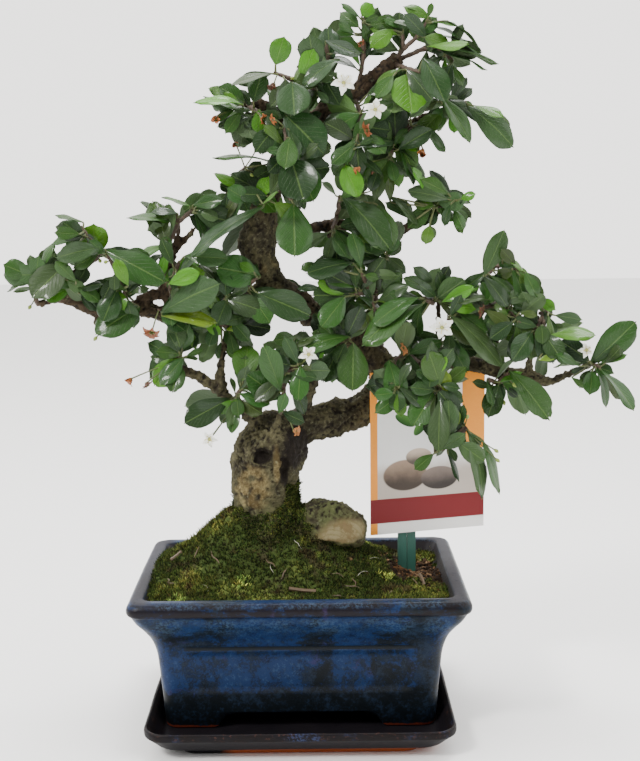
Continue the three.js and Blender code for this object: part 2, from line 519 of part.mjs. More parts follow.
// Leafy shoots. A stem is a list of x, z and depth y and starts inside the wood.
// A leaf is its foot x, z, its tip x, z and the width that shows from the front.
const SHOOTS = {
  apex_sprig: {
    stems: [[[38, 387, -3], [42, 405, -5], [42, 420, -7], [42, 430, -8]]],
    leaves: [[41, 431, 47, 438, 9], [40, 430, 30, 439, 5], [43, 428, 51, 431, 4],
      [37, 421, 27, 427, 5], [37, 420, 26, 422, 5], [42, 410, 28, 418, 7]],
  },
  crest_left: {
    stems: [[[22, 377, -4], [14, 388, -12], [8, 399, -16], [2, 402, -18]],
      [[14, 388, -12], [0, 394, -18], [-12, 399, -20]], [[16, 386, -11], [21, 400, -14],
      [20, 415, -16]]],
    leaves: [[-11, 403, -6, 419, 13], [12, 401, 10, 419, 15], [19, 417, 37, 409, 9],
      [-13, 398, -38, 392, 9], [28, 406, 5, 394, 10], [19, 393, 27, 380, 12]],
    behind: 'apart',
  },
  left_top: {
    stems: [[[-25, 381, -11], [-31, 379, -17], [-34, 377, -22]], [[-27, 380, -13], [-22, 375, -22]]],
    leaves: [[-30, 381, -45, 391, 12], [-31, 380, -59, 386, 8], [-32, 376, -42, 363, 8],
      [-21, 377, -22, 362, 9]],
    behind: 'joined',
  },
  crest_front: {
    stems: [[[4, 364, -4], [2, 376, -18], [-2, 391, -26]], [[2, 373, -16], [-6, 366, -26],
      [-4, 350, -32]]],
    leaves: [[-1, 393, 0, 373, 20], [-6, 374, 17, 352, 24], [-3, 360, -6, 341, 13],
      [-2, 347, 5, 322, 24], [-12, 366, -24, 352, 12]],
  },
  crest_right: {
    stems: [[[36, 385, -3], [40, 374, -18], [38, 358, -24], [30, 345, -26]]],
    leaves: [[30, 343, 38, 325, 14], [40, 374, 22, 364, 12], [42, 368, 60, 380, 11],
      [37, 356, 22, 344, 10], [41, 362, 55, 350, 12], [44, 385, 62, 392, 10]],
    behind: 'apart',
  },
  apex_right: {
    stems: [[[60, 404, -1], [66, 412, -5], [65, 422, -7]], [[66, 410, -4], [74, 418, -8],
      [80, 428, -10]]],
    leaves: [[60, 423, 47, 414, 11], [65, 422, 48, 413, 6], [80, 418, 67, 432, 10],
      [66, 423, 55, 430, 5], [81, 430, 67, 436, 4], [81, 430, 83, 438, 4]],
  },
  apex_tip: {
    stems: [[[63, 405, 0], [81, 413, -4], [90, 411, -8], [96, 404, -10]]],
    leaves: [[82, 420, 113, 413, 5], [81, 413, 105, 413, 8], [90, 412, 123, 403, 5],
      [90, 409, 117, 401, 5], [95, 402, 103, 390, 5]],
    behind: 'joined',
  },
  apex_drop: {
    stems: [[[60, 403, -1], [68, 400, -16], [76, 398, -22]]],
    leaves: [[78, 406, 91, 383, 16], [68, 397, 71, 374, 22], [60, 396, 50, 384, 9]],
    behind: 'joined',
  },
  right_top: {
    stems: [[[90, 375, 7], [98, 379, -2], [104, 380, -8]], [[94, 377, 2], [88, 384, -10]]],
    leaves: [[88, 384, 108, 359, 13], [104, 378, 134, 356, 15], [108, 378, 126, 370, 6]],
    behind: 'joined',
  },
  right_top_low: {
    stems: [[[58, 362, 14], [62, 361, -2], [72, 366, -8]], [[61, 361, 2], [58, 347, -8]]],
    leaves: [[74, 367, 93, 353, 6], [59, 366, 62, 374, 6], [62, 359, 76, 352, 7],
      [62, 357, 73, 331, 10], [58, 346, 61, 334, 7], [70, 371, 82, 388, 10]],
    behind: 'joined',
  },
  upper_left: {
    stems: [[[-42, 326, -6], [-38, 334, -12], [-30, 343, -14]], [[-38, 334, -12], [-24, 330, -18]]],
    leaves: [[-12, 345, -48, 352, 6], [-24, 339, -13, 335, 5], [-29, 327, -49, 339, 8],
      [-40, 328, -46, 333, 6], [-29, 322, -41, 330, 11], [-22, 324, -17, 336, 9],
      [-20, 320, -10, 327, 4]],
    behind: 'joined',
  },
  stub_top: {
    stems: [[[-72, 302, -7], [-73, 315, -12]], [[-73, 304, -8], [-62, 318, -14]], [[-73, 305, -8],
      [-80, 292, -14]]],
    leaves: [[-63, 320, -45, 323, 9], [-60, 317, -48, 312, 7], [-73, 309, -102, 316, 8],
      [-72, 315, -88, 317, 6], [-64, 319, -82, 324, 5], [-80, 292, -80, 301, 8]],
    behind: 'joined',
  },
  upper_centre: {
    stems: [[[-14, 335, -2], [-8, 330, -18], [-2, 322, -24]], [[-8, 330, -18], [0, 344, -26]],
      [[-8, 331, -17], [-20, 320, -24]]],
    leaves: [[-20, 318, -66, 291, 14], [-1, 320, -1, 288, 22], [0, 345, 11, 322, 20]],
    behind: 'apart',
  },
  branch_mid: {
    stems: [[[24, 308, 12], [26, 316, -6], [27, 325, -14]], [[25, 311, 4], [23, 304, -10]]],
    leaves: [[28, 325, 58, 296, 18], [23, 305, 35, 287, 9], [22, 300, 31, 288, 8]],
    behind: 'joined',
  },
  branch_tip: {
    stems: [[[89, 315, 6], [94, 318, -2], [98, 322, -6]], [[90, 315, 4], [84, 318, -6]]],
    leaves: [[58, 324, 76, 309, 8], [83, 318, 69, 305, 11], [87, 320, 104, 321, 12],
      [101, 322, 110, 325, 6], [94, 325, 77, 334, 10], [97, 316, 103, 303, 8],
      [82, 306, 80, 295, 8]],
    behind: 'joined',
  },
  left_end: {
    stems: [[[-160, 260, -12], [-163, 268, -18], [-160, 277, -22]], [[-150, 264, -11],
      [-146, 274, -20], [-143, 283, -23]]],
    leaves: [[-158, 278, -181, 279, 14], [-143, 284, -164, 265, 20], [-162, 270, -175, 269, 4],
      [-158, 281, -150, 299, 7]],
  },
  left_up: {
    stems: [[[-124, 287, -12], [-120, 293, -18], [-128, 301, -22], [-132, 308, -22]]],
    leaves: [[-131, 301, -150, 300, 6], [-119, 295, -147, 290, 12], [-124, 291, -124, 309, 17],
      [-131, 302, -142, 310, 10], [-130, 310, -147, 315, 4], [-133, 303, -148, 304, 8]],
  },
  left_mid: {
    stems: [[[-106, 256, -7], [-106, 268, -18], [-112, 282, -22], [-117, 292, -24]]],
    leaves: [[-117, 293, -84, 275, 18], [-104, 271, -111, 286, 8], [-105, 268, -114, 272, 4],
      [-112, 268, -107, 256, 9], [-97, 258, -124, 243, 20]],
    behind: 'joined',
  },
  left_elbow: {
    stems: [[[-138, 262, -10], [-137, 272, -18]]],
    leaves: [[-137, 273, -122, 262, 8], [-136, 274, -148, 286, 8], [-140, 270, -152, 276, 7]],
  },
  left_inner: {
    stems: [[[-73, 251, -3], [-80, 255, -16], [-86, 256, -22]], [[-76, 253, -10], [-78, 271, -22],
      [-72, 286, -24]]],
    leaves: [[-69, 289, -42, 287, 12], [-84, 254, -48, 272, 18], [-84, 252, -52, 253, 9],
      [-79, 272, -61, 279, 10], [-82, 252, -70, 243, 10]],
    behind: 'apart',
  },
  limb_left: {
    stems: [[[-40, 259, 2], [-34, 268, -16], [-24, 275, -22]], [[-37, 263, -8], [-45, 262, -18]]],
    leaves: [[-22, 276, -48, 282, 20], [-43, 262, -50, 246, 13], [-25, 266, 8, 252, 18],
      [-27, 263, -17, 247, 14]],
    behind: 'apart',
  },
  hang_left: {
    stems: [[[-44, 243, -8], [-41, 248, -14]], [[-44, 244, -9], [-51, 246, -16]]],
    leaves: [[-42, 241, -39, 227, 7], [-51, 245, -55, 233, 8], [-44, 243, -34, 245, 5],
      [-58, 250, -48, 240, 7], [-41, 249, -30, 236, 9]],
    behind: 'joined',
  },
  low_left_tip: {
    stems: [[[-77, 220, -10], [-73, 227, -16]]],
    leaves: [[-71, 226, -86, 209, 12], [-72, 228, -88, 230, 8], [-69, 227, -59, 231, 5]],
    behind: 'joined',
  },
  low_left: {
    stems: [[[-37, 195, -9], [-38, 203, -20], [-34, 207, -24]]],
    leaves: [[-42, 200, -72, 184, 16], [-39, 199, -42, 178, 9], [-37, 203, -18, 196, 9],
      [-35, 206, -12, 203, 8], [-36, 205, -32, 219, 8]],
    behind: 'joined',
  },
  bole_front: {
    stems: [[[-11, 190, -20], [-9, 203, -30], [-9, 220, -32], [-4, 236, -30]], [[-9, 215, -32],
      [2, 221, -34]]],
    leaves: [[-11, 204, -21, 233, 14], [-6, 236, -6, 219, 16], [2, 221, 0, 198, 12],
      [-1, 238, -15, 236, 9], [-12, 190, -8, 202, 7], [-10, 191, 4, 184, 8]],
  },
  red_branch: {
    stems: [[[20, 229, -4], [26, 233, -16], [33, 237, -20]]],
    leaves: [[33, 238, 2, 233, 11], [26, 232, 16, 210, 16], [35, 234, 34, 204, 19]],
  },
  centre: {
    stems: [[[47, 262, 8], [44, 268, -10], [40, 278, -18]], [[45, 265, 0], [36, 264, -16]],
      [[46, 262, 2], [48, 254, -14]]],
    leaves: [[40, 280, 36, 301, 9], [35, 284, 7, 279, 12], [44, 263, 31, 282, 10],
      [39, 268, 17, 275, 8], [50, 264, 65, 277, 10], [50, 260, 65, 257, 4],
      [45, 259, 33, 241, 13], [30, 263, 15, 244, 15], [12, 284, 3, 280, 6]],
    behind: 'apart',
  },
  centre_top: {
    stems: [[[54, 284, 4], [56, 288, -2]]],
    leaves: [[55, 287, 46, 294, 6], [57, 287, 66, 280, 7], [56, 288, 62, 300, 8]],
    behind: 'joined',
  },
  right_rise: {
    stems: [[[88, 260, 10], [86, 267, 0], [89, 273, -4]], [[87, 250, 12], [84, 258, -8],
      [78, 262, -12]],
      [[87, 262, 6], [92, 258, -6]]],
    leaves: [[88, 265, 113, 268, 8], [90, 259, 109, 268, 9], [86, 271, 97, 273, 6],
      [86, 270, 73, 281, 7], [86, 262, 76, 270, 8], [92, 257, 111, 254, 8],
      [78, 258, 40, 240, 12], [76, 262, 47, 250, 10]],
    behind: 'joined',
  },
  right_fall: {
    stems: [[[92, 222, 21], [93, 236, 0], [94, 250, -12]]],
    leaves: [[92, 238, 106, 215, 12], [95, 251, 129, 220, 16], [65, 236, 80, 232, 8],
      [100, 253, 118, 240, 10]],
    behind: 'apart',
  },
  right_up: {
    stems: [[[125, 284, -3], [121, 279, -8], [117, 275, -12]], [[125, 283, -3], [131, 281, -10],
      [139, 278, -14]]],
    leaves: [[116, 275, 128, 302, 13], [127, 286, 141, 279, 4], [133, 279, 142, 261, 8],
      [141, 277, 149, 261, 9], [115, 275, 131, 257, 10]],
    behind: 'joined',
  },
  right_mid: {
    stems: [[[130, 260, 0], [122, 257, -10], [115, 255, -16]], [[128, 258, -3], [134, 250, -16],
      [140, 244, -20]]],
    leaves: [[127, 260, 100, 261, 7], [116, 254, 133, 244, 8], [134, 246, 120, 236, 10],
      [133, 260, 142, 254, 7], [138, 252, 149, 250, 5]],
    behind: 'joined',
  },
  right_out: {
    stems: [[[150, 251, -9], [156, 252, -14]], [[149, 249, -9], [153, 240, -18], [160, 236, -20]],
      [[149, 249, -9], [147, 238, -20]]],
    leaves: [[150, 260, 160, 254, 7], [160, 250, 177, 247, 8], [157, 238, 185, 238, 9],
      [146, 240, 135, 223, 14], [152, 244, 153, 232, 10], [159, 234, 168, 219, 8],
      [150, 222, 162, 225, 5]],
    behind: 'joined',
  },
  right_tip: {
    stems: [[[181, 218, -6], [184, 219, -13], [189, 217, -20]]],
    leaves: [[182, 219, 210, 244, 18], [186, 217, 197, 193, 8], [189, 216, 211, 190, 7],
      [184, 215, 183, 200, 11], [176, 218, 162, 226, 6], [171, 211, 179, 205, 4]],
  },
  right_low: {
    stems: [[[127, 203, 3], [126, 209, -8], [133, 215, -14]], [[126, 207, -3], [119, 210, -12]]],
    leaves: [[132, 216, 157, 184, 15], [127, 208, 125, 195, 8], [118, 210, 122, 193, 5]],
    behind: 'joined',
  },
  card_left: {
    stems: [[[76, 221, 5], [70, 226, -8], [61, 224, -16], [58, 214, -20]], [[58, 218, -18],
      [62, 204, -26]]],
    leaves: [[57, 223, 64, 196, 15], [60, 202, 48, 201, 8], [63, 200, 49, 190, 10],
      [68, 228, 75, 205, 11]],
  },
  card_top: {
    stems: [[[87, 199, -22], [90, 206, -28]], [[86, 200, -21], [84, 210, -26]]],
    leaves: [[85, 203, 72, 181, 17], [89, 198, 88, 165, 13], [84, 218, 82, 205, 10],
      [92, 201, 93, 215, 7], [84, 212, 92, 226, 8]],
  },
  card_low: {
    stems: [[[102, 181, -26], [106, 179, -30]], [[87, 164, -27], [90, 165, -32]], [[90, 166, -32],
      [97, 172, -32], [106, 179, -30]]],
    leaves: [[90, 166, 104, 175, 9], [102, 182, 94, 191, 9], [85, 163, 73, 153, 8],
      [94, 163, 102, 146, 5], [106, 178, 121, 137, 12]],
  },
};

// White flowers: centre x and z as seen, depth y, width across and the shoot they grow on
const FLOWERS = [
  { x: 30, z: 392, y: -38, size: 14, shoot: 'crest_left' },
  { x: 49, z: 376, y: -38, size: 13, shoot: 'crest_right' },
  { x: 7, z: 227, y: -48, size: 11, shoot: 'bole_front' },
  { x: 90, z: 243, y: -34, size: 14, shoot: 'right_fall' },
  { x: -56, z: 174, y: -34, size: 9, shoot: 'low_left' },
  { x: 180, z: 228, y: -24, size: 9, shoot: 'right_tip' },
];
const FLOWER_TUBE = 4.5;
const FLOWER_TILT = 0.25;

// Points already taken, kept in cubes so that a new leaf only looks at its neighbours
const taken = new Map();
const draw = seededDraw(1453);

function cubeOf(value) {
  return Math.floor(value / LEAF_REACH);
}

function take(points, owner) {
  for (const point of points) {
    const key = `${cubeOf(point.x)},${cubeOf(point.y)},${cubeOf(point.z)}`;
    if (!taken.has(key)) {
      taken.set(key, []);
    }
    taken.get(key).push({ point, owner });
  }
}

// A leaf may touch its own shoot near its foot, where all the leaves come together
function isTaken(points, owner, footCount) {
  for (const [order, point] of points.entries()) {
    for (let i = -1; i <= 1; i += 1) {
      for (let j = -1; j <= 1; j += 1) {
        for (let k = -1; k <= 1; k += 1) {
          const key = `${cubeOf(point.x) + i},${cubeOf(point.y) + j},${cubeOf(point.z) + k}`;
          for (const other of taken.get(key) ?? []) {
            const own = order < footCount ? 0 : OWN_REACH;
            const reach = other.owner === owner ? own : LEAF_REACH;
            if (other.point.distanceTo(point) < reach) {
              return true;
            }
          }
        }
      }
    }
  }
  return false;
}

function pointsAlong(from, to, step) {
  const count = Math.max(1, Math.ceil(from.distanceTo(to) / step));
  const points = [];
  for (let i = 0; i <= count; i += 1) {
    points.push(from.clone().lerp(to, i / count));
  }
  return points;
}

function takeWood(limb) {
  for (let i = 0; i + 1 < limb.length; i += 1) {
    const from = seen(...limb[i]);
    const to = seen(...limb[i + 1]);
    const along = to.clone().sub(from).normalize();
    const side = new THREE.Vector3(0, 1, 0).cross(along);
    if (side.length() < 0.1) {
      side.set(1, 0, 0);
    }
    side.normalize();
    const up = along.clone().cross(side);
    pointsAlong(from, to, SAMPLE_STEP).forEach((centre, step, all) => {
      const part = step / (all.length - 1);
      const radius = limb[i][3] + (limb[i + 1][3] - limb[i][3]) * part;
      const around = Math.ceil(2 * Math.PI * radius / SAMPLE_STEP);
      const ring = [];
      for (let turn = 0; turn < around; turn += 1) {
        const angle = (turn / around) * 2 * Math.PI;
        ring.push(centre.clone()
          .addScaledVector(side, radius * Math.cos(angle))
          .addScaledVector(up, radius * Math.sin(angle)));
      }
      take(ring, 'wood');
    });
  }
}

function cardPlace(along, behind, z) {
  const turnX = Math.cos(CARD.turn);
  const turnY = Math.sin(CARD.turn);
  return new THREE.Vector3(
    CARD.x + along * turnX - behind * turnY,
    CARD.y + along * turnY + behind * turnX,
    z,
  );
}

function takeCard() {
  for (let along = 0; along <= CARD.width; along += SAMPLE_STEP) {
    const foot = cardPlace(along, 0, CARD.bottom);
    const head = cardPlace(along, 0, CARD.bottom + CARD.height);
    take(pointsAlong(foot, head, SAMPLE_STEP), 'card');
  }
}

// The nearest place on a shoot's stems, never in the part that is still inside the wood
function nearestOnStems(stems, x, z, order = 0) {
  let best = null;
  for (const stem of stems) {
    for (let i = 0; i + 1 < stem.length; i += 1) {
      const [ax, az, ay] = stem[i];
      const [bx, bz, by] = stem[i + 1];
      const across = (x - ax) * (bx - ax) + (z - az) * (bz - az);
      const length = (bx - ax) ** 2 + (bz - az) ** 2;
      const first = i === 0 ? 0.55 : 0;
      const last = i + 2 === stem.length ? 0.92 - 0.06 * (order % 5) : 1;
      const part = Math.min(last, Math.max(first, across / Math.max(length, 1)));
      const spot = [ax + (bx - ax) * part, az + (bz - az) * part, ay + (by - ay) * part];
      const distance = Math.hypot(spot[0] - x, spot[1] - z);
      if (best === null || distance < best.distance) {
        best = { distance, spot };
      }
    }
  }
  return best.spot;
}

// A leaf stands on its stem with its stalk; its blade shows the width that is given
function placeLeaf({ stems, leaves, facing }, order, shift, lean, lift) {
  const [footX, footZ, tipX, tipZ, shown] = leaves[order];
  const spot = nearestOnStems(stems, footX, footZ, order);
  const flat = Math.hypot(tipX - footX, tipZ - footZ);
  const depth = spot[2] - facing * lift + shift;
  const foot = seen(footX, footZ, depth);
  const stem = seen(...spot);
  const root = stem.clone().addScaledVector(foot.clone().sub(stem).normalize(), ROOT_SINK);
  const tip = seen(tipX, tipZ, depth - facing * lean * flat);
  const along = tip.clone().sub(foot);
  const length = along.length();
  along.normalize();
  const width = Math.min(Math.max(shown, 0.42 * length), 2.4 * shown);
  const open = shown / width;
  const front = new THREE.Vector3(0, -facing, 0.2);
  front.addScaledVector(along, -front.dot(along)).normalize();
  const flank = along.clone().cross(front);
  if (flank.z < 0) {
    flank.negate();
  }
  const normal = front.multiplyScalar(open).addScaledVector(flank, Math.sqrt(1 - open * open));
  const side = along.clone().cross(normal);
  const broad = facing > 0 && shown > BROAD ? TOOTHED_TIP : NOTCHED_TIP;
  const outline = shown < NARROW ? NARROW_TIP : broad;
  return { root, foot, along, normal, side, length, width, outline };
}

function onBlade(place, part, across, lift = 0) {
  const arch = BLADE_ARCH * place.length * Math.sin(Math.PI * Math.min(part, 1));
  return place.foot.clone()
    .addScaledVector(place.along, part * place.length)
    .addScaledVector(place.side, across * place.width / 2)
    .addScaledVector(place.normal, arch + lift);
}

function halfOutline(part) {
  if (part < WIDEST) {
    return (part / WIDEST) ** 0.8;
  }
  return 1 - 0.5 * ((part - WIDEST) / (1 - WIDEST)) ** 2;
}

function leafPoints(place) {
  const points = pointsAlong(place.root, place.foot, SAMPLE_STEP).slice(1);
  const rows = Math.ceil(place.length / SAMPLE_STEP);
  let footCount = 0;
  for (let row = 1; row <= rows; row += 1) {
    const part = row / rows;
    const half = halfOutline(part);
    const columns = Math.ceil(half * place.width / SAMPLE_STEP);
    for (let column = 0; column <= columns; column += 1) {
      const across = columns > 0 ? half * (2 * column / columns - 1) : 0;
      points.push(onBlade(place, part, across));
    }
    if (part < FOOT_PART) {
      footCount = points.length;
    }
  }
  return { points, footCount };
}

// Three points round the stalk: turned wholly with it at its root, by half at its foot
function stalkRing(place, centre, share, size) {
  const stalkWay = place.foot.clone().sub(place.root).normalize();
  const way = place.along.clone().lerp(stalkWay, share).normalize();
  const turn = new THREE.Quaternion().setFromUnitVectors(place.along, way);
  const side = place.side.clone().applyQuaternion(turn);
  const normal = place.normal.clone().applyQuaternion(turn);
  return [
    centre.clone().addScaledVector(side, size),
    centre.clone().addScaledVector(side, -size),
    centre.clone().addScaledVector(normal, size),
  ];
}

// Obovate blade with a toothed tip, thickest on its rib, narrowing into its stalk.
// A long stalk has a neck of its own at the foot of the blade.
function bladeSolid(place, spare = 0) {
  const half = LEAF_THICK / 2 + spare;
  const stalk = STALK_RADIUS + spare;
  const wide = 1 + 2 * spare / place.width;
  const points = stalkRing(place, place.root, 1, stalk);
  const triangles = [[0, 2, 1]];
  if (place.root.distanceTo(place.foot) > LONG_STALK) {
    points.push(...stalkRing(place, place.foot, 0.5, stalk * 1.25));
    for (const [a, b] of [[0, 1], [1, 2], [2, 0]]) {
      triangles.push([a, b, b + 3], [a, b + 3, a + 3]);
    }
  }
  const neck = points.length - 3;
  const ring = points.length;
  points.push(onBlade(place, WIDEST, wide, BLADE_CUP * place.width));
  points.push(onBlade(place, WIDEST, 0, -half));
  points.push(onBlade(place, WIDEST, -wide, BLADE_CUP * place.width));
  points.push(onBlade(place, WIDEST, 0, half));
  for (const [part, across] of place.outline) {
    points.push(onBlade(place, part + spare / place.length, across * wide));
  }
  const [left, under, right, over] = [ring, ring + 1, ring + 2, ring + 3];
  triangles.push([neck, neck + 1, under], [neck, under, left], [neck + 1, right, under]);
  triangles.push([neck + 1, neck + 2, over], [neck + 1, over, right]);
  triangles.push([neck + 2, neck, left], [neck + 2, left, over]);
  const edge = [left, ...place.outline.map((_, i) => ring + 4 + i), right];
  for (let i = 0; i + 1 < edge.length; i += 1) {
    triangles.push([over, edge[i], edge[i + 1]], [under, edge[i + 1], edge[i]]);
  }
  return solid(points, triangles);
}

// The far side of a shoot: the same stems carried behind the limb, with other leaves
function behindStems(stems) {
  const middle = stems[0][0][2];
  return stems.map((stem) => stem.map(([x, z, y]) => [x, z, 2 * middle - y + BEHIND_SET]));
}

function joinedStems(stems) {
  const behind = behindStems(stems);
  stems.forEach((stem, i) => {
    const [from, to] = stem;
    behind[i][0] = from.map((value, axis) => value + (to[axis] - value) * JOINT_PART);
  });
  return behind;
}

function behindLeaves(leaves) {
  const others = [];
  for (const [footX, footZ, tipX, tipZ, shown] of leaves) {
    const keep = draw();
    const turn = (draw() - 0.5) * 0.9;
    const size = 0.72 + 0.2 * draw();
    if (shown >= 7 && keep < 0.8) {
      const dx = (tipX - footX) * size;
      const dz = (tipZ - footZ) * size;
      const newX = footX + dx * Math.cos(turn) - dz * Math.sin(turn);
      const newZ = footZ + dx * Math.sin(turn) + dz * Math.cos(turn);
      const width = Math.min(Math.max(shown, 0.3 * Math.hypot(dx, dz)), 17);
      others.push([footX, footZ, newX, newZ, width]);
    }
  }
  return others;
}

function flowerFoot(flower) {
  return seen(flower.x, flower.z, flower.y + FLOWER_TUBE + CLEARANCE);
}

// Side stems grow from the first stem, where it is clear of the wood
function rootedStems([first, ...others]) {
  const rooted = others.map(([start, ...rest], order) => (
    [nearestOnStems([first], start[0], start[1], order), ...rest]
  ));
  return [first, ...rooted];
}

function layOutShoots() {
  const shoots = [];
  for (const [name, shoot] of Object.entries(SHOOTS)) {
    shoot.stems = rootedStems(shoot.stems);
    const front = { stems: shoot.stems, leaves: shoot.leaves, facing: 1 };
    shoots.push({ name: `shoot_${name}`, sides: [front] });
    if (shoot.behind === 'joined') {
      const leaves = behindLeaves(shoot.leaves);
      shoots.at(-1).sides.push({ stems: joinedStems(shoot.stems), leaves, facing: -1 });
    }
    if (shoot.behind === 'apart') {
      const leaves = behindLeaves(shoot.leaves);
      const side = { stems: behindStems(shoot.stems), leaves, facing: -1 };
      shoots.push({ name: `shoot_${name}_behind`, sides: [side] });
    }
  }
  [BOLE, ROOT_LUMP, LEADER, ...LIMBS].forEach(takeWood);
  takeCard();
  for (const shoot of shoots) {
    shoot.flowers = FLOWERS.filter((flower) => `shoot_${flower.shoot}` === shoot.name);
    for (const stem of shoot.sides.flatMap((side) => side.stems)) {
      for (let i = 0; i + 1 < stem.length; i += 1) {
        take(pointsAlong(seen(...stem[i]), seen(...stem[i + 1]), SAMPLE_STEP), shoot.name);
      }
    }
    for (const flower of shoot.flowers) {
      const start = seen(...nearestOnStems(shoot.sides[0].stems, flower.x, flower.z));
      take(pointsAlong(start, flowerFoot(flower), SAMPLE_STEP), shoot.name);
      for (let radius = 0; radius <= flower.size / 2; radius += SAMPLE_STEP) {
        for (let turn = 0; turn < 12; turn += 1) {
          const angle = (turn / 12) * 2 * Math.PI;
          const x = flower.x + radius * Math.cos(angle);
          const z = flower.z + radius * Math.sin(angle);
          take([seen(x, z, flower.y), seen(x, z, flower.y - 3), seen(x, z, flower.y + 3)], 'flower');
        }
      }
    }
  }
  for (const shoot of shoots) {
    shoot.places = [];
    for (const side of shoot.sides) {
      for (let order = 0; order < side.leaves.length; order += 1) {
        const lean = 0.15 + 0.4 * draw();
        const lift = 1 + 3 * draw();
        for (const shift of DEPTH_TRIES) {
          const place = placeLeaf(side, order, shift, lean, lift);
          const { points, footCount } = leafPoints(place);
          if (!isTaken(points, shoot.name, footCount)) {
            take(points, shoot.name);
            shoot.places.push(place);
            break;
          }
        }
      }
    }
  }
  return shoots;
}

function meets(body) {
  const box = body.boundingBox();
  return finished.filter(({ box: other }) => (
    [0, 1, 2].every((axis) => box.min[axis] < other.max[axis] && box.max[axis] > other.min[axis])
  )).some((other) => !body.intersect(other.body).isEmpty());
}

function shootBodies(shoot, spin) {
  const bodies = shoot.sides.flatMap((side) => side.stems).map((stem) => {
    const points = stem.map(([x, z, y], i) => [x, z, y, STEM_RADIUS * (1 - 0.25 * i / stem.length)]);
    return woodyTube(points, 3, 0, 0, spin);
  });
  for (const flower of shoot.flowers) {
    const start = nearestOnStems(shoot.sides[0].stems, flower.x, flower.z);
    const foot = flower.y + FLOWER_TUBE + CLEARANCE;
    const stalk = [[...start, STALK_RADIUS], [flower.x, flower.z, foot, STALK_RADIUS]];
    bodies.push(woodyTube(stalk, 3, 0, 0, spin));
  }
  return bodies;
}

// Stems and leaves in one body; the stems are turned a little until no two faces share an edge
function makeShoot(shoot, wood) {
  const blades = shoot.places.filter((place) => !meets(bladeSolid(place, CLEARANCE)))
    .map((place) => bladeSolid(place));
  let result = null;
  for (const spin of STEM_SPINS) {
    result = settle(join([...shootBodies(shoot, spin), ...blades]).subtract(wood));
    if (result.tight) {
      break;
    }
  }
  return result.main;
}

// Five petals round a short tube, facing the front
function makeFlower(flower) {
  const centre = seen(flower.x, flower.z, flower.y);
  const out = new THREE.Vector3(0, -Math.cos(FLOWER_TILT), Math.sin(FLOWER_TILT));
  const right = new THREE.Vector3(1, 0, 0);
  const up = right.clone().cross(out).negate();
  const points = [];
  const triangles = [];
  for (let petal = 0; petal < 5; petal += 1) {
    for (const [turn, reach] of [[-0.4, 0.8], [0, 1], [0.4, 0.8], [0.628, 0.34]]) {
      const angle = petal * 2 * Math.PI / 5 + Math.PI / 2 + turn;
      const radius = reach * flower.size / 2;
      points.push(centre.clone()
        .addScaledVector(right, radius * Math.cos(angle))
        .addScaledVector(up, radius * Math.sin(angle)));
    }
  }
  points.push(centre.clone().addScaledVector(out, 0.5));
  points.push(centre.clone().addScaledVector(out, -0.7));
  for (let i = 0; i < 20; i += 1) {
    const next = (i + 1) % 20;
    triangles.push([20, i, next], [21, next, i]);
  }
  const star = solid(points, triangles);
  const behind = flower.y + FLOWER_TUBE;
  const tube = [[flower.x, flower.z, behind, 0.9], [flower.x, flower.z, flower.y + 0.2, 1.2]];
  return star.add(woodyTube(tube, 5, 0, 0));
}

function turnedBlock(from, to, front, back, bottom, top) {
  const ring = (z) => [[from, front], [to, front], [to, back], [from, back]]
    .map(([along, behind]) => cardPlace(along, behind, z));
  return loft([ring(bottom), ring(top)]);
}

function makeStake(spare = 0) {
  const front = CARD.thick / 2 + CLEARANCE - spare;
  const back = CARD.thick / 2 + CLEARANCE + STAKE.thick + spare;
  const inner = STAKE.slot / 2 - spare;
  const outer = STAKE.slot / 2 + STAKE.strip + spare;
  const bottom = STAKE.bottom - spare;
  const strip = (from, to, low) => (
    turnedBlock(STAKE.along + from, STAKE.along + to, front, back, low, STAKE.top)
  );
  if (spare > 0) {
    return strip(-outer, outer, bottom);
  }
  return join([strip(-outer, -inner, bottom), strip(inner, outer, bottom), strip(-outer, outer, 134)]);
}

add('saucer', makeSaucer(), '#2a2228', 0.3);
add('pot', makePot(), '#27406e', 0.25);
add('drain_mesh_left', makeDrainMesh(-DRAIN_X), '#3a3a38', 0.6);
add('drain_mesh_right', makeDrainMesh(DRAIN_X), '#3a3a38', 0.6);

const trunk = makeTrunk();
const woodSpace = makeTrunk(CLEARANCE);
const stakeSpace = makeStake(CLEARANCE);
const meshSpace = [-DRAIN_X, DRAIN_X].map((x) => block(27, 27, 2, x, 0, POT_FLOOR_Z));
add('soil', largest(makeSoil().subtract(join([woodSpace, stakeSpace, ...meshSpace]))), '#2c2018', 0.95);
add('moss', largest(makeMoss().subtract(join([woodSpace, stakeSpace]))), '#3c5a1c', 0.9);
add('trunk', trunk, '#6a5a45', 0.85);
add('label_card', turnedBlock(0, CARD.width, -CARD.thick / 2, CARD.thick / 2, CARD.bottom,
  CARD.bottom + CARD.height), '#e8e4dc', 0.4);
add('label_stake', makeStake(), '#1f6b52', 0.45);

FLOWERS.forEach((flower, i) => {
  add(`flower_${i + 1}`, makeFlower(flower), '#f4f4ee', 0.5);
});
for (const shoot of layOutShoots()) {
  add(shoot.name, makeShoot(shoot, woodSpace), '#3f6b35', 0.35);
}

export default tree;
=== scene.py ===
import math
import random

import bmesh
import bpy
from mathutils import Matrix, Quaternion, Vector, kdtree, noise


